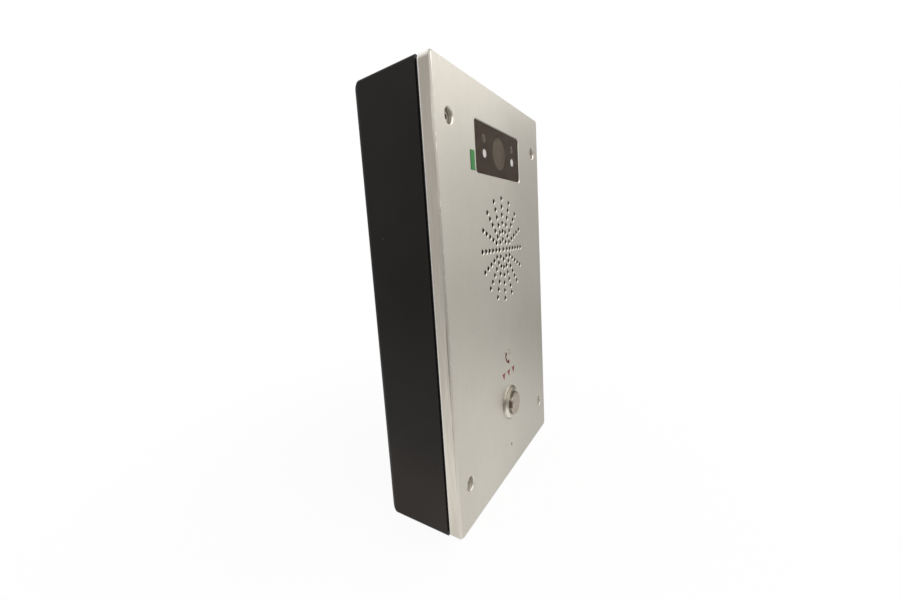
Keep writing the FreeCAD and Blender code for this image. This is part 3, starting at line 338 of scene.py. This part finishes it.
def rim_marks(t, co, z, depth, rim):
    """Layers along the rim: bright chips, a dark line behind the chamfer, and dark nicks."""
    chip_colour, nick_colour = (0.95, 0.92, 0.86), (0.20, 0.15, 0.12)
    line_colour = (0.27, 0.23, 0.19)
    chips_start, line_starts = (-60.0, -20.0), (-78.0, -50.0)

    def marks(noise, levels, most, zone):
        return t.product(t.remap(noise, levels, after=most), t.band(depth, zone), rim)

    chips = t.noise(co, size=1.1, detail=3.0, rough=0.6, stretch=(1.0, 1.0, 0.45))
    line = t.noise(co, size=9.0, detail=3.0, rough=0.6, stretch=(1.0, 1.0, 0.25))
    nicks = t.noise(co, size=1.3, detail=3.0, rough=0.6)
    chips = marks(chips, levels=(0.53, 0.60), most=0.6, zone=(0.02, 0.22))
    line = marks(line, levels=(0.40, 0.54), most=0.6, zone=(0.58, 1.02))
    nicks = marks(nicks, levels=(0.68, 0.72), most=0.8, zone=(0.03, 0.6))
    return (
        (t.product(chips, t.fade(z, chips_start, before=0.2)), chip_colour),
        (t.product(line, t.fade(z, line_starts)), line_colour),
        (nicks, nick_colour),
    )


def panel_material():
    """Bead-blasted, clear anodised aluminium with milled sides, edges bright from wear and a
    painted highlight, handling marks, and painted light and shade.
    """
    bright_metal, lit_wall_metal = (0.90, 0.88, 0.83), (0.93, 0.90, 0.84)
    bore_shade = (0.085, 0.062, 0.045)
    cut_metal, grille_cut_metal = (0.66, 0.63, 0.56), (0.57, 0.54, 0.48)
    rim_width, rim_soft = 1.0, 0.05
    chamfer_zone, flank_zone, cut_zone = (0.02, 0.86), (0.86, 0.94), (0.02, 0.38)
    recess_wall, pinhole_wall, bore_wall = (0.42, 0.60), (0.05, 0.15), (0.20, 0.34)
    stained_part, screw_zone, middle_z = (-20.0, 60.0), (35.0, 40.0), 0.0
    pinhole_radius, grille_radius = 1.2, 28.0
    lower_right_shade, polish = 0.6, 0.10
    made, t = material("panel_aluminium")
    co, x, y, z = t.place_xyz()
    depth = t.less(y, panel_face_y)
    over_x = t.less(t.math("ABSOLUTE", x), panel_half_width - rim_width)
    over_z = t.less(t.math("ABSOLUTE", z), panel_half_height - rim_width)
    rim = t.fade(t.largest(over_x, over_z), (-rim_soft, rim_soft))
    inner = t.rest(rim)

    grain = t.noise(co, size=0.28, detail=3.0, rough=0.65)
    cloud = t.noise(co, size=38.0, detail=3.0, rough=0.55)
    stain = t.product(
        t.fade(z, stained_part, after=0.6), t.remap(cloud, lower_levels, before=0.6)
    )
    # Bright edges, partly wear and partly a painted highlight
    bright = worn_and_highlit_edges(t, co, z, depth, rim)
    skin = t.layers(
        blasted_face(t, co, x, z, grain, cloud),
        (t.product(t.fade(depth, flank_zone), rim), milled_side(t, co, z, stain)),
        (t.product(t.band(depth, chamfer_zone), rim), shaded_chamfer(t, z, stain)),
        (bright, bright_metal),
        *rim_marks(t, co, z, depth, rim),
    )

    # Painted light on the walls in the screw recesses and the pinhole, bare broken edges round the
    # holes that painted shade makes fainter at the lower right screw, and painted shade in the
    # bores behind the grille's edges
    recesses = t.product(
        t.fade(depth, recess_wall, after=0.7), inner, t.fade(t.math("ABSOLUTE", x), screw_zone)
    )
    pinhole = t.disc(x, z, (0.0, microphone_z), pinhole_radius)
    pinhole = t.product(pinhole, t.fade(depth, pinhole_wall, after=0.9))
    # Painted shade: the broken edges are dimmed at the lower right screw
    lower_right = t.product(t.above(x, screw_zone[0]), t.below(z, middle_z))
    cut = t.product(t.band(depth, cut_zone), inner, t.rest(t.product(lower_right, lower_right_shade)))
    grille = t.disc(x, z, (0.0, grille_z), grille_radius)
    skin = t.layers(
        skin,
        # Painted light on the recess and pinhole walls
        (t.largest(recesses, pinhole), lit_wall_metal),
        (cut, t.mix(grille, cut_metal, grille_cut_metal)),
        # Painted shade in the grille's bores
        (t.product(t.fade(depth, bore_wall), grille), bore_shade),
    )
    marks = t.noise(co, size=3.0, detail=4.0, rough=0.7, stretch=(1.0, 1.0, 0.16))
    rough = t.remap(marks, wide_levels, before=0.40, after=0.50)
    t.surface(
        Base_Color=skin,
        Metallic=1.0,
        Roughness=t.math("SUBTRACT", rough, t.product(t.largest(bright, cut), polish)),
        Normal=t.bump(grain, depth=0.03, strength=0.6),
    )
    return made


# The other materials


def paint_material():
    """Satin black powder coat with a slight orange peel, a few specks of dust, and painted light
    that turns its lower part a lighter brown.
    """
    dark, light = (0.0075, 0.0066, 0.0056), (0.0130, 0.0110, 0.0092)
    lower_light_colour, dust_colour = (0.024, 0.0165, 0.0125), (0.055, 0.052, 0.049)
    lower_light_zone = (-45.0 * mm, -85.0 * mm)
    cloud_levels = (0.35, 0.65)
    dust_spacing, dust_radius = 26.0, 0.012
    made, t = material("box_paint")
    co, _, _, z = t.place_xyz()
    peel = t.noise(co, size=0.9)
    fine = t.noise(co, size=0.25, rough=0.6)
    cloud = t.noise(co, size=45.0, detail=3.0, rough=0.6)
    # The radius is in cells of the pattern
    dust = t.add("ShaderNodeTexVoronoi", Vector=co, Scale=1.0 / (dust_spacing * mm))
    dust = t.math("LESS_THAN", dust.outputs["Distance"], dust_radius)
    # Painted light: a brown reflection that lightens the lower part
    lower_light = t.product(t.ease(z, lower_light_zone), t.remap(cloud, lower_levels, before=0.7))
    t.surface(
        Base_Color=t.layers(
            t.mix(t.remap(cloud, cloud_levels), dark, light),
            (lower_light, lower_light_colour),
            (dust, dust_colour),
        ),
        Roughness=t.remap(fine, wide_levels, before=0.38, after=0.50),
        IOR=1.30,
        Normal=t.bump(peel, depth=0.02, strength=0.5),
    )
    return made


def metal_material(name, colour, rough):
    """Plain machined or plated metal."""
    rough_spread = 0.06
    made, t = material(name)
    co = t.coordinates()
    fine = t.noise(co, size=0.4, detail=3.0, rough=0.6)
    cloud = t.noise(co, size=6.0)
    t.surface(
        Base_Color=t.mix(t.vary(cloud), darker(colour, share=0.82), colour),
        Metallic=1.0,
        Roughness=t.remap(fine, wide_levels, rough - rough_spread, rough + rough_spread),
        Normal=t.bump(fine, depth=0.01, strength=0.5),
    )
    return made


def turned_material(name, colour, rough):
    """Turned steel with faint rings about the button's axis and finger marks, with painted shade in
    its gaps, on its tops and at its foot, and a painted highlight on its bezel.
    """
    touched_colour, highlight_colour = (0.415, 0.345, 0.280), (0.86, 0.82, 0.73)
    brown, dark_brown = (0.300, 0.268, 0.212), (0.205, 0.182, 0.142)
    crown_colour = (0.245, 0.205, 0.160)
    gap_edge_shade_colour, dark_shade_colour = (0.165, 0.142, 0.108), (0.14, 0.090, 0.065)
    # Depths and a place across: the actuator's face lies in front of touched_y, the gap and the
    # bezel's foot behind gap_y and foot_y, and a patch of painted shade to the left of the given
    # place across
    touched_y, gap_y, foot_y, dark_patch_x = -41.2, -41.1, -39.3, -2.0
    # Distances from the button's axis
    slope_zone, bezel_zone = (7.8, 8.95), (6.2, 8.95)
    gap_zone, dark_patch_zone = (5.85, 6.35), (4.3, 5.6)
    highlight_radius, crown_radius, dark_patch_radius, foot_radius = 7.7, 6.05, 6.1, 8.8
    ring_soft, gap_soft, middle_soft, foot_soft = 0.12, 0.08, 0.5, 0.9
    # Heights over the button's axis
    slope_heights, bezel_heights, crown_heights = (0.0, 3.0), (5.0, 7.0), (4.0, 5.0)
    highlight_start, highlight_end = (0.0, -2.0), (-5.5, -7.5)
    upper_gap, lower_gap = (3.6, 4.6), (-1.0, -2.2)
    middle_heights, foot_heights = (-1.0, 2.9), (-2.0, 3.8)
    most_middle_shade, most_foot_shade = 0.92, 0.50
    smear_levels, rough_spread = (0.35, 0.7), 0.10
    made, t = material(name)
    co, x, y, z = t.place_xyz()
    up = t.less(z, button_z)
    radius = t.distance(x, up)
    line = t.add("ShaderNodeCombineXYZ", X=radius).outputs[0]
    rings = t.noise(line, size=0.12, rough=0.7)
    smear = t.noise(co, size=3.5, detail=3.0, rough=0.6)
    touched = t.product(t.below(y, touched_y), t.remap(smear, lower_levels, before=0.6))

    # Painted shade: the bezel's slope is painted brown on its upper half, and the bezel and the
    # actuator along their tops; a painted highlight brightens the slope's lower half
    shaded_slope = t.product(
        t.fade(up, slope_heights, after=0.9), t.band(radius, slope_zone, ring_soft)
    )
    shaded_top = t.product(
        t.fade(up, bezel_heights, after=0.9), t.band(radius, bezel_zone, ring_soft)
    )
    crown_shade = t.product(t.fade(up, crown_heights, after=0.85), t.below(radius, crown_radius))
    painted_highlight = t.product(
        t.fade(up, highlight_start, after=0.6),
        t.fade(up, highlight_end, before=1.0, after=0.0),
        t.above(radius, highlight_radius),
    )

    # Painted shade lies in the gap round the actuator, on the actuator's left and along the bezel's
    # foot
    gap = t.product(t.band(radius, gap_zone, gap_soft), t.above(y, gap_y))
    high = t.fade(up, upper_gap, before=0.10, after=0.85)
    low = t.fade(up, lower_gap, before=0.10, after=0.62)
    dark_patch = t.product(
        t.fade(radius, dark_patch_zone), t.below(x, dark_patch_x), t.below(radius, dark_patch_radius)
    )
    middle_shade = t.product(t.largest(gap, dark_patch), t.band(up, middle_heights, middle_soft), most_middle_shade)
    foot = t.product(
        t.above(radius, foot_radius),
        t.above(y, foot_y),
        t.band(up, foot_heights, foot_soft),
        most_foot_shade,
    )
    t.surface(
        Base_Color=t.layers(
            t.mix(t.remap(smear, smear_levels), colour, darker(colour, share=0.84)),
            (touched, touched_colour),
            # Painted shade and a painted highlight on the bezel and the actuator's top
            (shaded_slope, brown),
            (shaded_top, dark_brown),
            (painted_highlight, highlight_colour),
            (crown_shade, crown_colour),
            # Painted shade in the gap, on the actuator's left and at the bezel's foot
            (t.product(gap, t.largest(low, high)), gap_edge_shade_colour),
            (t.largest(middle_shade, foot), dark_shade_colour),
        ),
        Metallic=1.0,
        Roughness=t.vary(smear, rough, rough + rough_spread),
        Normal=t.bump(rings, depth=0.004, strength=0.5),
    )
    return made


def plain_material(name, colour, rough, grain=0.8, depth=0.03, spread=0.8, coat=0.0, ior=1.5):
    """Plastic, rubber, foam, coating or ink with its own fine grain."""
    rough_spread, least_rough = 0.08, 0.02
    made, t = material(name)
    co = t.coordinates()
    fine = t.noise(co, size=grain, detail=3.0, rough=0.6)
    cloud = t.noise(co, size=9.0)
    smooth = max(rough - rough_spread, least_rough)
    t.surface(
        Base_Color=t.mix(t.vary(cloud), darker(colour, spread), colour),
        Roughness=t.remap(fine, wide_levels, smooth, rough + rough_spread),
        IOR=ior,
        Coat_Weight=coat,
        Normal=t.bump(fine, depth, strength=0.5),
    )
    return made


def weave_material(name, colour):
    """Fine plain weave."""
    thread_pitch = 0.35
    made, t = material(name)
    _, x, _, z = t.place_xyz()
    turn = 2 * math.pi / (thread_pitch * mm)
    across = t.math("SINE", t.product(x, turn))
    along = t.math("SINE", t.product(z, turn))
    threads = t.product(across, along)
    t.surface(
        Base_Color=t.mix(t.remap(threads, (-1.0, 1.0)), colour, darker(colour, share=0.3)),
        Roughness=0.8,
        Normal=t.bump(threads, depth=0.05, strength=0.8),
    )
    return made


def board_material():
    """Solder mask over copper tracks."""
    between_tracks, over_tracks = (0.012, 0.085, 0.040), (0.020, 0.130, 0.062)
    track_spacing, track_edge = 3.2, (0.30, 0.34)
    made, t = material("circuit_board")
    settings = {"distance": "CHEBYCHEV", "feature": "F1"}
    scale = 1.0 / (track_spacing * mm)
    cells = t.add("ShaderNodeTexVoronoi", settings, Vector=t.coordinates(), Scale=scale)
    track = t.remap(cells.outputs["Distance"], track_edge)
    t.surface(
        Base_Color=t.mix(track, between_tracks, over_tracks),
        Roughness=0.35,
        Normal=t.bump(track, depth=0.03, strength=0.5),
    )
    return made


def window_material():
    """Smoked window with a dark mask behind its surface and clear places for lens and lights."""
    dark_mask, light_mask = (0.041, 0.0295, 0.0205), (0.051, 0.037, 0.0265)
    lens_colour = (0.125, 0.100, 0.074)
    white_colour, dim_colour = (0.62, 0.60, 0.58), (0.130, 0.105, 0.080)
    lens_centre, lens_radius, lens_clear = (0.0, window_z + 0.05), 7.5, 0.3
    light_x = 17.2
    white_z, white_radius, white_clear = 67.55, 1.85, 0.1
    dim_z, dim_radius, dim_clear = 74.0, 2.0, 0.25
    made, t = material("smoked_window")
    co, x, _, z = t.place_xyz()

    def pair(height, radius):
        return t.largest(*(t.disc(x, z, (side, height), radius) for side in (-light_x, light_x)))

    lens = t.disc(x, z, lens_centre, lens_radius)
    white = pair(white_z, white_radius)
    dim = pair(dim_z, dim_radius)
    cloud = t.noise(co, size=8.0)
    clear = t.largest(
        t.product(lens, lens_clear), t.product(dim, dim_clear), t.product(white, white_clear)
    )
    t.surface(
        Base_Color=t.layers(
            t.mix(t.vary(cloud), dark_mask, light_mask),
            (lens, lens_colour),
            (dim, dim_colour),
            (white, white_colour),
        ),
        Roughness=0.07,
        IOR=1.07,
        Alpha=t.rest(clear),
    )
    return made


def film_material(name, colour, alpha, rough, ior=1.5):
    """Thin plastic film with slight ripples."""
    made, t = material(name)
    ripple = t.noise(t.coordinates(), size=5.0, stretch=(1.0, 1.0, 0.4))
    t.surface(
        Base_Color=t.mix(t.vary(ripple), darker(colour, share=0.85), colour),
        Roughness=rough,
        IOR=ior,
        Alpha=alpha,
        Normal=t.bump(ripple, depth=0.05, strength=0.4),
    )
    return made


# Colour and roughness of each
metals = {
    "screw_steel": ((0.46, 0.43, 0.37), 0.46),
    "lens_metal": ((0.05, 0.05, 0.05), 0.4),
    "zinc_steel": ((0.55, 0.55, 0.50), 0.35),
    "terminal_brass": ((0.75, 0.56, 0.25), 0.28),
    "capsule_can": ((0.65, 0.65, 0.64), 0.30),
    "jack_shell": ((0.68, 0.68, 0.64), 0.22),
    "sink_aluminium": ((0.10, 0.10, 0.10), 0.4),
}
plains = {
    "black_rubber": dict(colour=(0.018, 0.018, 0.018), rough=0.75),
    "black_foam": dict(colour=(0.012, 0.012, 0.012), rough=0.9, grain=0.5, depth=0.08),
    "lens_coating": dict(colour=(0.05, 0.04, 0.07), rough=0.05, depth=0.0, spread=0.6, coat=0.6),
    "black_plastic": dict(colour=(0.02, 0.02, 0.02), rough=0.5),
    "sensor_cover": dict(colour=(0.03, 0.04, 0.06), rough=0.15),
    "cream_plastic": dict(colour=(0.62, 0.58, 0.46), rough=0.5),
    "white_light": dict(colour=(0.85, 0.85, 0.80), rough=0.15, coat=0.4),
    "infrared_light": dict(colour=(0.06, 0.015, 0.03), rough=0.12, coat=0.4),
    "basket_steel": dict(colour=(0.03, 0.03, 0.03), rough=0.4),
    "cone_film": dict(colour=(0.06, 0.055, 0.05), rough=0.7),
    "red_insulation": dict(colour=(0.36, 0.02, 0.02), rough=0.45),
    "green_plastic": dict(colour=(0.03, 0.22, 0.08), rough=0.4),
    "blue_plastic": dict(colour=(0.015, 0.06, 0.26), rough=0.4),
    "chip_resin": dict(colour=(0.03, 0.03, 0.03), rough=0.6),
    "capacitor_sleeve": dict(colour=(0.02, 0.02, 0.07), rough=0.3),
}
materials = {
    "panel_aluminium": panel_material(),
    "box_paint": paint_material(),
    "button_steel": turned_material("button_steel", (0.62, 0.582, 0.515), 0.38),
    "smoked_window": window_material(),
    "clear_film": film_material("clear_film", (0.9, 0.9, 0.9), 0.008, 0.15),
    "green_tab": film_material("green_tab", (0.016, 0.196, 0.030), 0.97, 0.35, 1.38),
    "circuit_board": board_material(),
    "mesh_cloth": weave_material("mesh_cloth", (0.02, 0.02, 0.02)),
}
materials.update({name: metal_material(name, *look) for name, look in metals.items()})
materials.update({name: plain_material(name, **look) for name, look in plains.items()})


def dress(obj, made):
    """Give an object one material."""
    obj.data.materials.clear()
    obj.data.materials.append(made)


for name, obj in nodes.items():
    dress(obj, materials[slot_of[name]])


# Meshes

quarter_turn = 90.0


def polar(centre, radius, degrees):
    turn = math.radians(degrees)
    return centre[0] + radius * math.cos(turn), centre[1] + radius * math.sin(turn)


def linked(name, data):
    """A new object in the scene."""
    obj = bpy.data.objects.new(name, data)
    scene.collection.objects.link(obj)
    return obj


def modelled(name, bm):
    """A new object in the scene from a bmesh, which is freed."""
    mesh = bpy.data.meshes.new(name)
    bm.to_mesh(mesh)
    bm.free()
    return linked(name, mesh)


# The back box as it is painted, with rear edges and corners rounder than the solid's


def rounded_ring(bm, half_x, half_z, radius, y, steps=8):
    """Vertices round a rectangle with round corners, at one depth, in millimetres."""
    ring = []
    for corner, (side_x, side_z) in enumerate(((1, 1), (-1, 1), (-1, -1), (1, -1))):
        centre = (side_x * (half_x - radius), side_z * (half_z - radius))
        for k in range(steps + 1):
            x, z = polar(centre, radius, quarter_turn * (corner + k / steps))
            ring.append(bm.verts.new((x * mm, y * mm, z * mm)))
    return ring


def corner_cutter():
    """A block that holds the box and rounds its rear edges and corners."""
    proud = 0.02
    edge_radius = 1.2
    rear_radius = 3.6
    corner_growth = 1.4
    front_y = -40.0
    steps = 10
    half_x = panel_half_width + proud
    half_z = panel_half_height + proud
    bm = bmesh.new()
    rings = [rounded_ring(bm, half_x, half_z, edge_radius, front_y)]
    for k in range(steps + 1):
        turn = math.radians(quarter_turn * k / steps)
        inset = rear_radius * (1.0 - math.cos(turn))
        radius = edge_radius + corner_growth * math.sin(turn)
        y = proud - rear_radius * (1.0 - math.sin(turn))
        rings.append(rounded_ring(bm, half_x - inset, half_z - inset, radius, y))
    count = len(rings[0])
    for low, high in zip(rings, rings[1:]):
        for k in range(count):
            n = (k + 1) % count
            bm.faces.new((low[k], low[n], high[n], high[k]))
    bm.faces.new(rings[0])
    bm.faces.new(rings[-1])
    bmesh.ops.recalc_face_normals(bm, faces=bm.faces)
    return modelled("corner_cutter", bm)


def keep_modified(obj):
    """Give an object the mesh that its modifiers make, and drop the modifiers."""
    shown = obj.evaluated_get(bpy.context.evaluated_depsgraph_get())
    obj.data = bpy.data.meshes.new_from_object(shown)
    obj.modifiers.clear()


def painted_box():
    """The box's own mesh, cut to rounder rear edges and corners."""
    merge_distance = 0.001
    sharp_angle = 30.0
    mesh = nodes["back_box"].data.copy()
    bm = bmesh.new()
    bm.from_mesh(mesh)
    bmesh.ops.remove_doubles(bm, verts=bm.verts, dist=merge_distance * mm)
    bm.to_mesh(mesh)
    bm.free()
    box = linked("painted_box", mesh)
    cutter = corner_cutter()
    cut = box.modifiers.new("corners", "BOOLEAN")
    cut.operation = "INTERSECT"
    cut.solver = "EXACT"
    cut.object = cutter
    keep_modified(box)
    bpy.data.objects.remove(cutter)
    dress(box, materials["box_paint"])
    box.data.shade_smooth()
    box.data.set_sharp_from_angle(angle=math.radians(sharp_angle))
    # Normals that follow the large faces, so that these stay flat beside the round edges
    flat = box.modifiers.new("flat", "WEIGHTED_NORMAL")
    flat.weight = 100
    flat.keep_sharp = True
    keep_modified(box)
    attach(box, "housing")
    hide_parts("back_box")


def return_spring():
    """The button's spring. Its space is 6.0 mm long at rest and 3.8 mm with the button in."""
    wire = linked("return_spring", nodes["button_spring"].data.copy())
    dress(wire, materials[slot_of["button_spring"]])
    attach(wire, "housing")
    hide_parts("button_spring")
    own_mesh(wire)


painted_box()
return_spring()


# Print on the panel: a handset sign with two sound arcs, and three marks towards the button


def printed(name, outlines, ink):
    """Flat print on the panel's face from closed outlines of (x, z) in millimetres."""
    print_depth = 0.03
    depths = (panel_face_y, panel_face_y - print_depth)
    bm = bmesh.new()
    for outline in outlines:
        rear, front = (
            [bm.verts.new((x * mm, y * mm, z * mm)) for x, z in outline] for y in depths
        )
        bm.faces.new(rear)
        bm.faces.new(front[::-1])
        for k in range(len(outline)):
            n = (k + 1) % len(outline)
            bm.faces.new((rear[k], front[k], front[n], rear[n]))
    bmesh.ops.recalc_face_normals(bm, faces=bm.faces)
    # The two outlines become triangles, and the sides stay as they are
    bmesh.ops.triangulate(bm, faces=[f for f in bm.faces if len(f.verts) > 4])
    obj = modelled(name, bm)
    dress(obj, ink)
    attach(obj, "housing")


def arc_band(centre, inner, outer, start, end, steps=14):
    """Outline of a band between two radii and two angles."""
    turns = [start + (end - start) * k / steps for k in range(steps + 1)]
    out = [polar(centre, outer, a) for a in turns]
    back = [polar(centre, inner, a) for a in reversed(turns)]
    return out + back


def handset(centre, start, end):
    """Outline of a handset: a curved handle whose ends reach inwards."""
    outer_radius = 5.4
    handle_radius = 4.3
    end_radius = 3.4
    corner_radius = 0.7
    corner_turn = 6.0
    end_turn = 21.0
    blend_turn = 9.8
    steps = 40
    out = []
    back = []
    for k in range(steps + 1):
        a = start + (end - start) * k / steps
        edge = min(a - start, end - a)
        corner = min(edge / corner_turn, 1.0)
        rounding = corner_radius * (1.0 - math.sqrt(1.0 - (1.0 - corner) ** 2))
        out.append(polar(centre, outer_radius - rounding, a))
        share = min(max((edge - end_turn) / blend_turn, 0.0), 1.0)
        share = share * share * (3 - 2 * share)
        inner_radius = end_radius + (handle_radius - end_radius) * share + rounding
        back.append(polar(centre, inner_radius, a))
    return out + back[::-1]


def triangle(x, z, width, height):
    """Outline of a triangle that points down."""
    return [(x - width / 2, z + height / 2), (x + width / 2, z + height / 2), (x, z - height / 2)]


def print_signs():
    ink = dict(rough=0.5, grain=0.5, depth=0.01, ior=1.2)
    sign_ink = plain_material("sign_ink", (0.115, 0.029, 0.021), spread=0.75, **ink)
    mark_ink = plain_material("mark_ink", (0.260, 0.075, 0.058), spread=0.75, **ink)
    pale_ink = plain_material("pale_ink", (0.38, 0.27, 0.22), spread=0.85, **ink)
    sign_centre, sign_turns = (1.65, -31.5), (160.0, 268.0)
    arc_centre, arc_turns = (-0.4, -32.9), (8.0, 82.0)
    arc_radii = ((2.1, 2.55), (3.5, 4.0))
    mark_places, mark_z, mark_size = (-6.6, 0.0, 6.6), -42.0, (4.0, 3.5)
    printed("handset_sign", [handset(sign_centre, *sign_turns)], sign_ink)
    arcs = [arc_band(arc_centre, *radii, *arc_turns) for radii in arc_radii]
    printed("sound_arcs", arcs, pale_ink)
    printed("button_marks", [triangle(x, mark_z, *mark_size) for x in mark_places], mark_ink)


print_signs()


# Floor, light and camera. A reach is in metres from the floor's middle, a spread is in cosines of
# the angle to an azimuth, and a rise, foot or top in sines of the height over the horizon.


def ray_kinds(t):
    """One for rays that a gloss or a glass sends out, and one for the camera's."""
    path = t.add("ShaderNodeLightPath").outputs
    return t.largest(path["Is Glossy Ray"], path["Is Transmission Ray"]), path["Is Camera Ray"]


def white_floor():
    """White floor with a faint shadow, that shows darker parts of the room to the gloss."""
    reach = 3.0
    height = floor_z * mm
    dark_paper, light_paper = (0.80, 0.80, 0.80), (0.84, 0.84, 0.84)
    fall_reach, behind_reach, glow_reach = (0.10, 0.44), (0.14, 0.30), (0.10, 0.30)
    near_wedge_reach, far_wedge_reach = (0.05, 0.20), (0.30, 0.60)
    front_spread, behind_spread, wedge_spread = (0.90, 0.99), (0.70, 0.98), (0.945, 0.987)
    wedge_x, wedge_y = -184.0, 33.0
    mesh = bpy.data.meshes.new("floor")
    corners = ((-reach, -reach), (reach, -reach), (reach, reach), (-reach, reach))
    mesh.from_pydata([(x, y, height) for x, y in corners], [], [(0, 1, 2, 3)])
    floor = linked("floor", mesh)
    made, t = material("floor_white")
    co, x, y, _ = t.place_xyz()
    mirrored, camera = ray_kinds(t)
    far = t.distance(x, y)

    # The floor gets darker away from the object, less so to the right in front of it
    right_front = t.math("DIVIDE", t.along(x, y, right_front_azimuth), far)
    fall = t.product(
        t.ease(far, fall_reach, after=0.47),
        t.ease(right_front, front_spread, before=1.0, after=0.64),
    )
    # It is darker behind the camera, and in a wedge that spreads to the right from a point left
    # of the object
    behind_camera = t.math("DIVIDE", t.along(x, y, behind_camera_azimuth), far)
    side = t.product(t.ease(behind_camera, behind_spread, after=0.22), t.ease(far, behind_reach))
    across, back = t.less(x, wedge_x), t.less(y, wedge_y)
    rightwards = t.math("DIVIDE", t.along(across, back, wedge_azimuth), t.distance(across, back))
    wedge = t.product(
        t.ease(rightwards, wedge_spread, after=0.46),
        t.ease(far, near_wedge_reach, before=0.45),
        t.ease(far, far_wedge_reach, before=1.0, after=0.35),
    )
    white = t.rest(t.product(mirrored, t.total(fall, wedge, side)))
    glow = t.add("ShaderNodeEmission", Color=(1.0, 1.0, 1.0, 1.0), Strength=white).outputs[0]
    paper = t.mix(t.noise(co, size=2.0), dark_paper, light_paper)
    diffuse = t.add("ShaderNodeBsdfDiffuse", Color=paper).outputs[0]
    # The glow hides all but a little of the shadow close to the object
    share = t.product(t.largest(camera, mirrored), t.ease(far, glow_reach, before=0.92))
    both = t.add("ShaderNodeMixShader", Fac=share, i1=diffuse, i2=glow).outputs[0]
    t.add("ShaderNodeOutputMaterial", Surface=both)
    mesh.materials.append(made)


def studio():
    """White for the camera, a soft sky for light, and a room with a bright card for the gloss."""
    sky_rise, room_rise = (0.12, 0.85), (0.24, 0.80)
    card_foot, card_top, wall_top = (0.03, 0.10), (0.16, 0.34), (0.30, 0.60)
    behind_spread, card_spread, wall_spread = (0.70, 0.98), (0.91, 0.99), (0.945, 0.990)
    world = bpy.data.worlds.new("studio")
    scene.world = world
    t = Tree(world)
    direction = t.add("ShaderNodeTexCoord").outputs["Generated"]
    parts = t.add("ShaderNodeSeparateXYZ", Vector=direction)
    east, north, rise = parts.outputs[0], parts.outputs[1], parts.outputs[2]
    mirrored, camera = ray_kinds(t)
    behind_camera = t.along(east, north, behind_camera_azimuth)
    sky = t.ease(rise, sky_rise, before=0.34, after=1.10)
    room = t.product(
        t.ease(rise, room_rise, before=0.57),
        t.ease(behind_camera, behind_spread, before=1.0, after=0.78),
    )
    card = t.product(
        t.ease(t.along(east, north, card_azimuth), card_spread, after=0.55),
        t.ease(rise, card_foot, before=0.85, after=1.75),
        t.ease(rise, card_top, before=1.0, after=0.50),
    )
    dark_wall = t.product(
        t.ease(t.along(east, north, dark_wall_azimuth), wall_spread, after=0.80),
        t.ease(rise, wall_top, before=1.0, after=0.2),
    )
    seen = t.product(t.total(room, card), t.rest(dark_wall))
    strength = t.largest(sky, t.product(mirrored, seen), camera)
    back = t.add("ShaderNodeBackground", Color=(1.0, 1.0, 1.0, 1.0), Strength=strength).outputs[0]
    t.add("ShaderNodeOutputWorld", Surface=back)


def lamp(name, place, target, size, power, colour):
    """A rectangular lamp that points at a target, with places and sizes in metres."""
    data = bpy.data.lights.new(name, "AREA")
    data.shape = "RECTANGLE"
    data.size, data.size_y = size
    data.energy = power
    data.color = colour
    obj = linked(name, data)
    obj.location = place
    obj.rotation_euler = (Vector(target) - Vector(place)).to_track_quat("-Z", "Y").to_euler()


def photo_camera():
    """The photograph's camera: its place in millimetres, its axes and its lens."""
    place = Vector((-184.313, -109.298, 28.421))
    right = Vector((0.60857903, -0.7889074, -0.08518616))
    down = Vector((-0.16503405, -0.02083506, -0.98606778))
    forward = Vector((0.77614131, 0.61415879, -0.14287637))
    camera = linked("camera", bpy.data.cameras.new("camera"))
    scene.camera = camera
    camera.data.sensor_fit = "HORIZONTAL"
    camera.data.sensor_width = 36.0
    camera.data.lens = 14.82
    camera.data.shift_x = 0.0641
    camera.data.shift_y = 0.0027
    camera.data.clip_start = 0.01
    turn = Matrix((right, -down, -forward)).transposed().to_4x4()
    camera.matrix_world = Matrix.Translation(place * mm) @ turn


white_floor()
studio()
# Name, place, target, size, power and colour
lamp("key", (0.20, -0.80, 0.85), (0.0, 0.0, 0.0), (1.1, 0.8), 4.0, (1.0, 0.99, 0.97))
lamp("right", (0.78, -0.42, 0.56), (0.0, -0.04, 0.03), (0.5, 0.4), 0.7, (1.0, 0.985, 0.985))
lamp("left", (-0.44, -0.75, 0.44), (0.0, -0.04, 0.05), (0.5, 0.4), 1.1, (1.0, 0.985, 0.985))
photo_camera()

scene.view_settings.view_transform = "Standard"
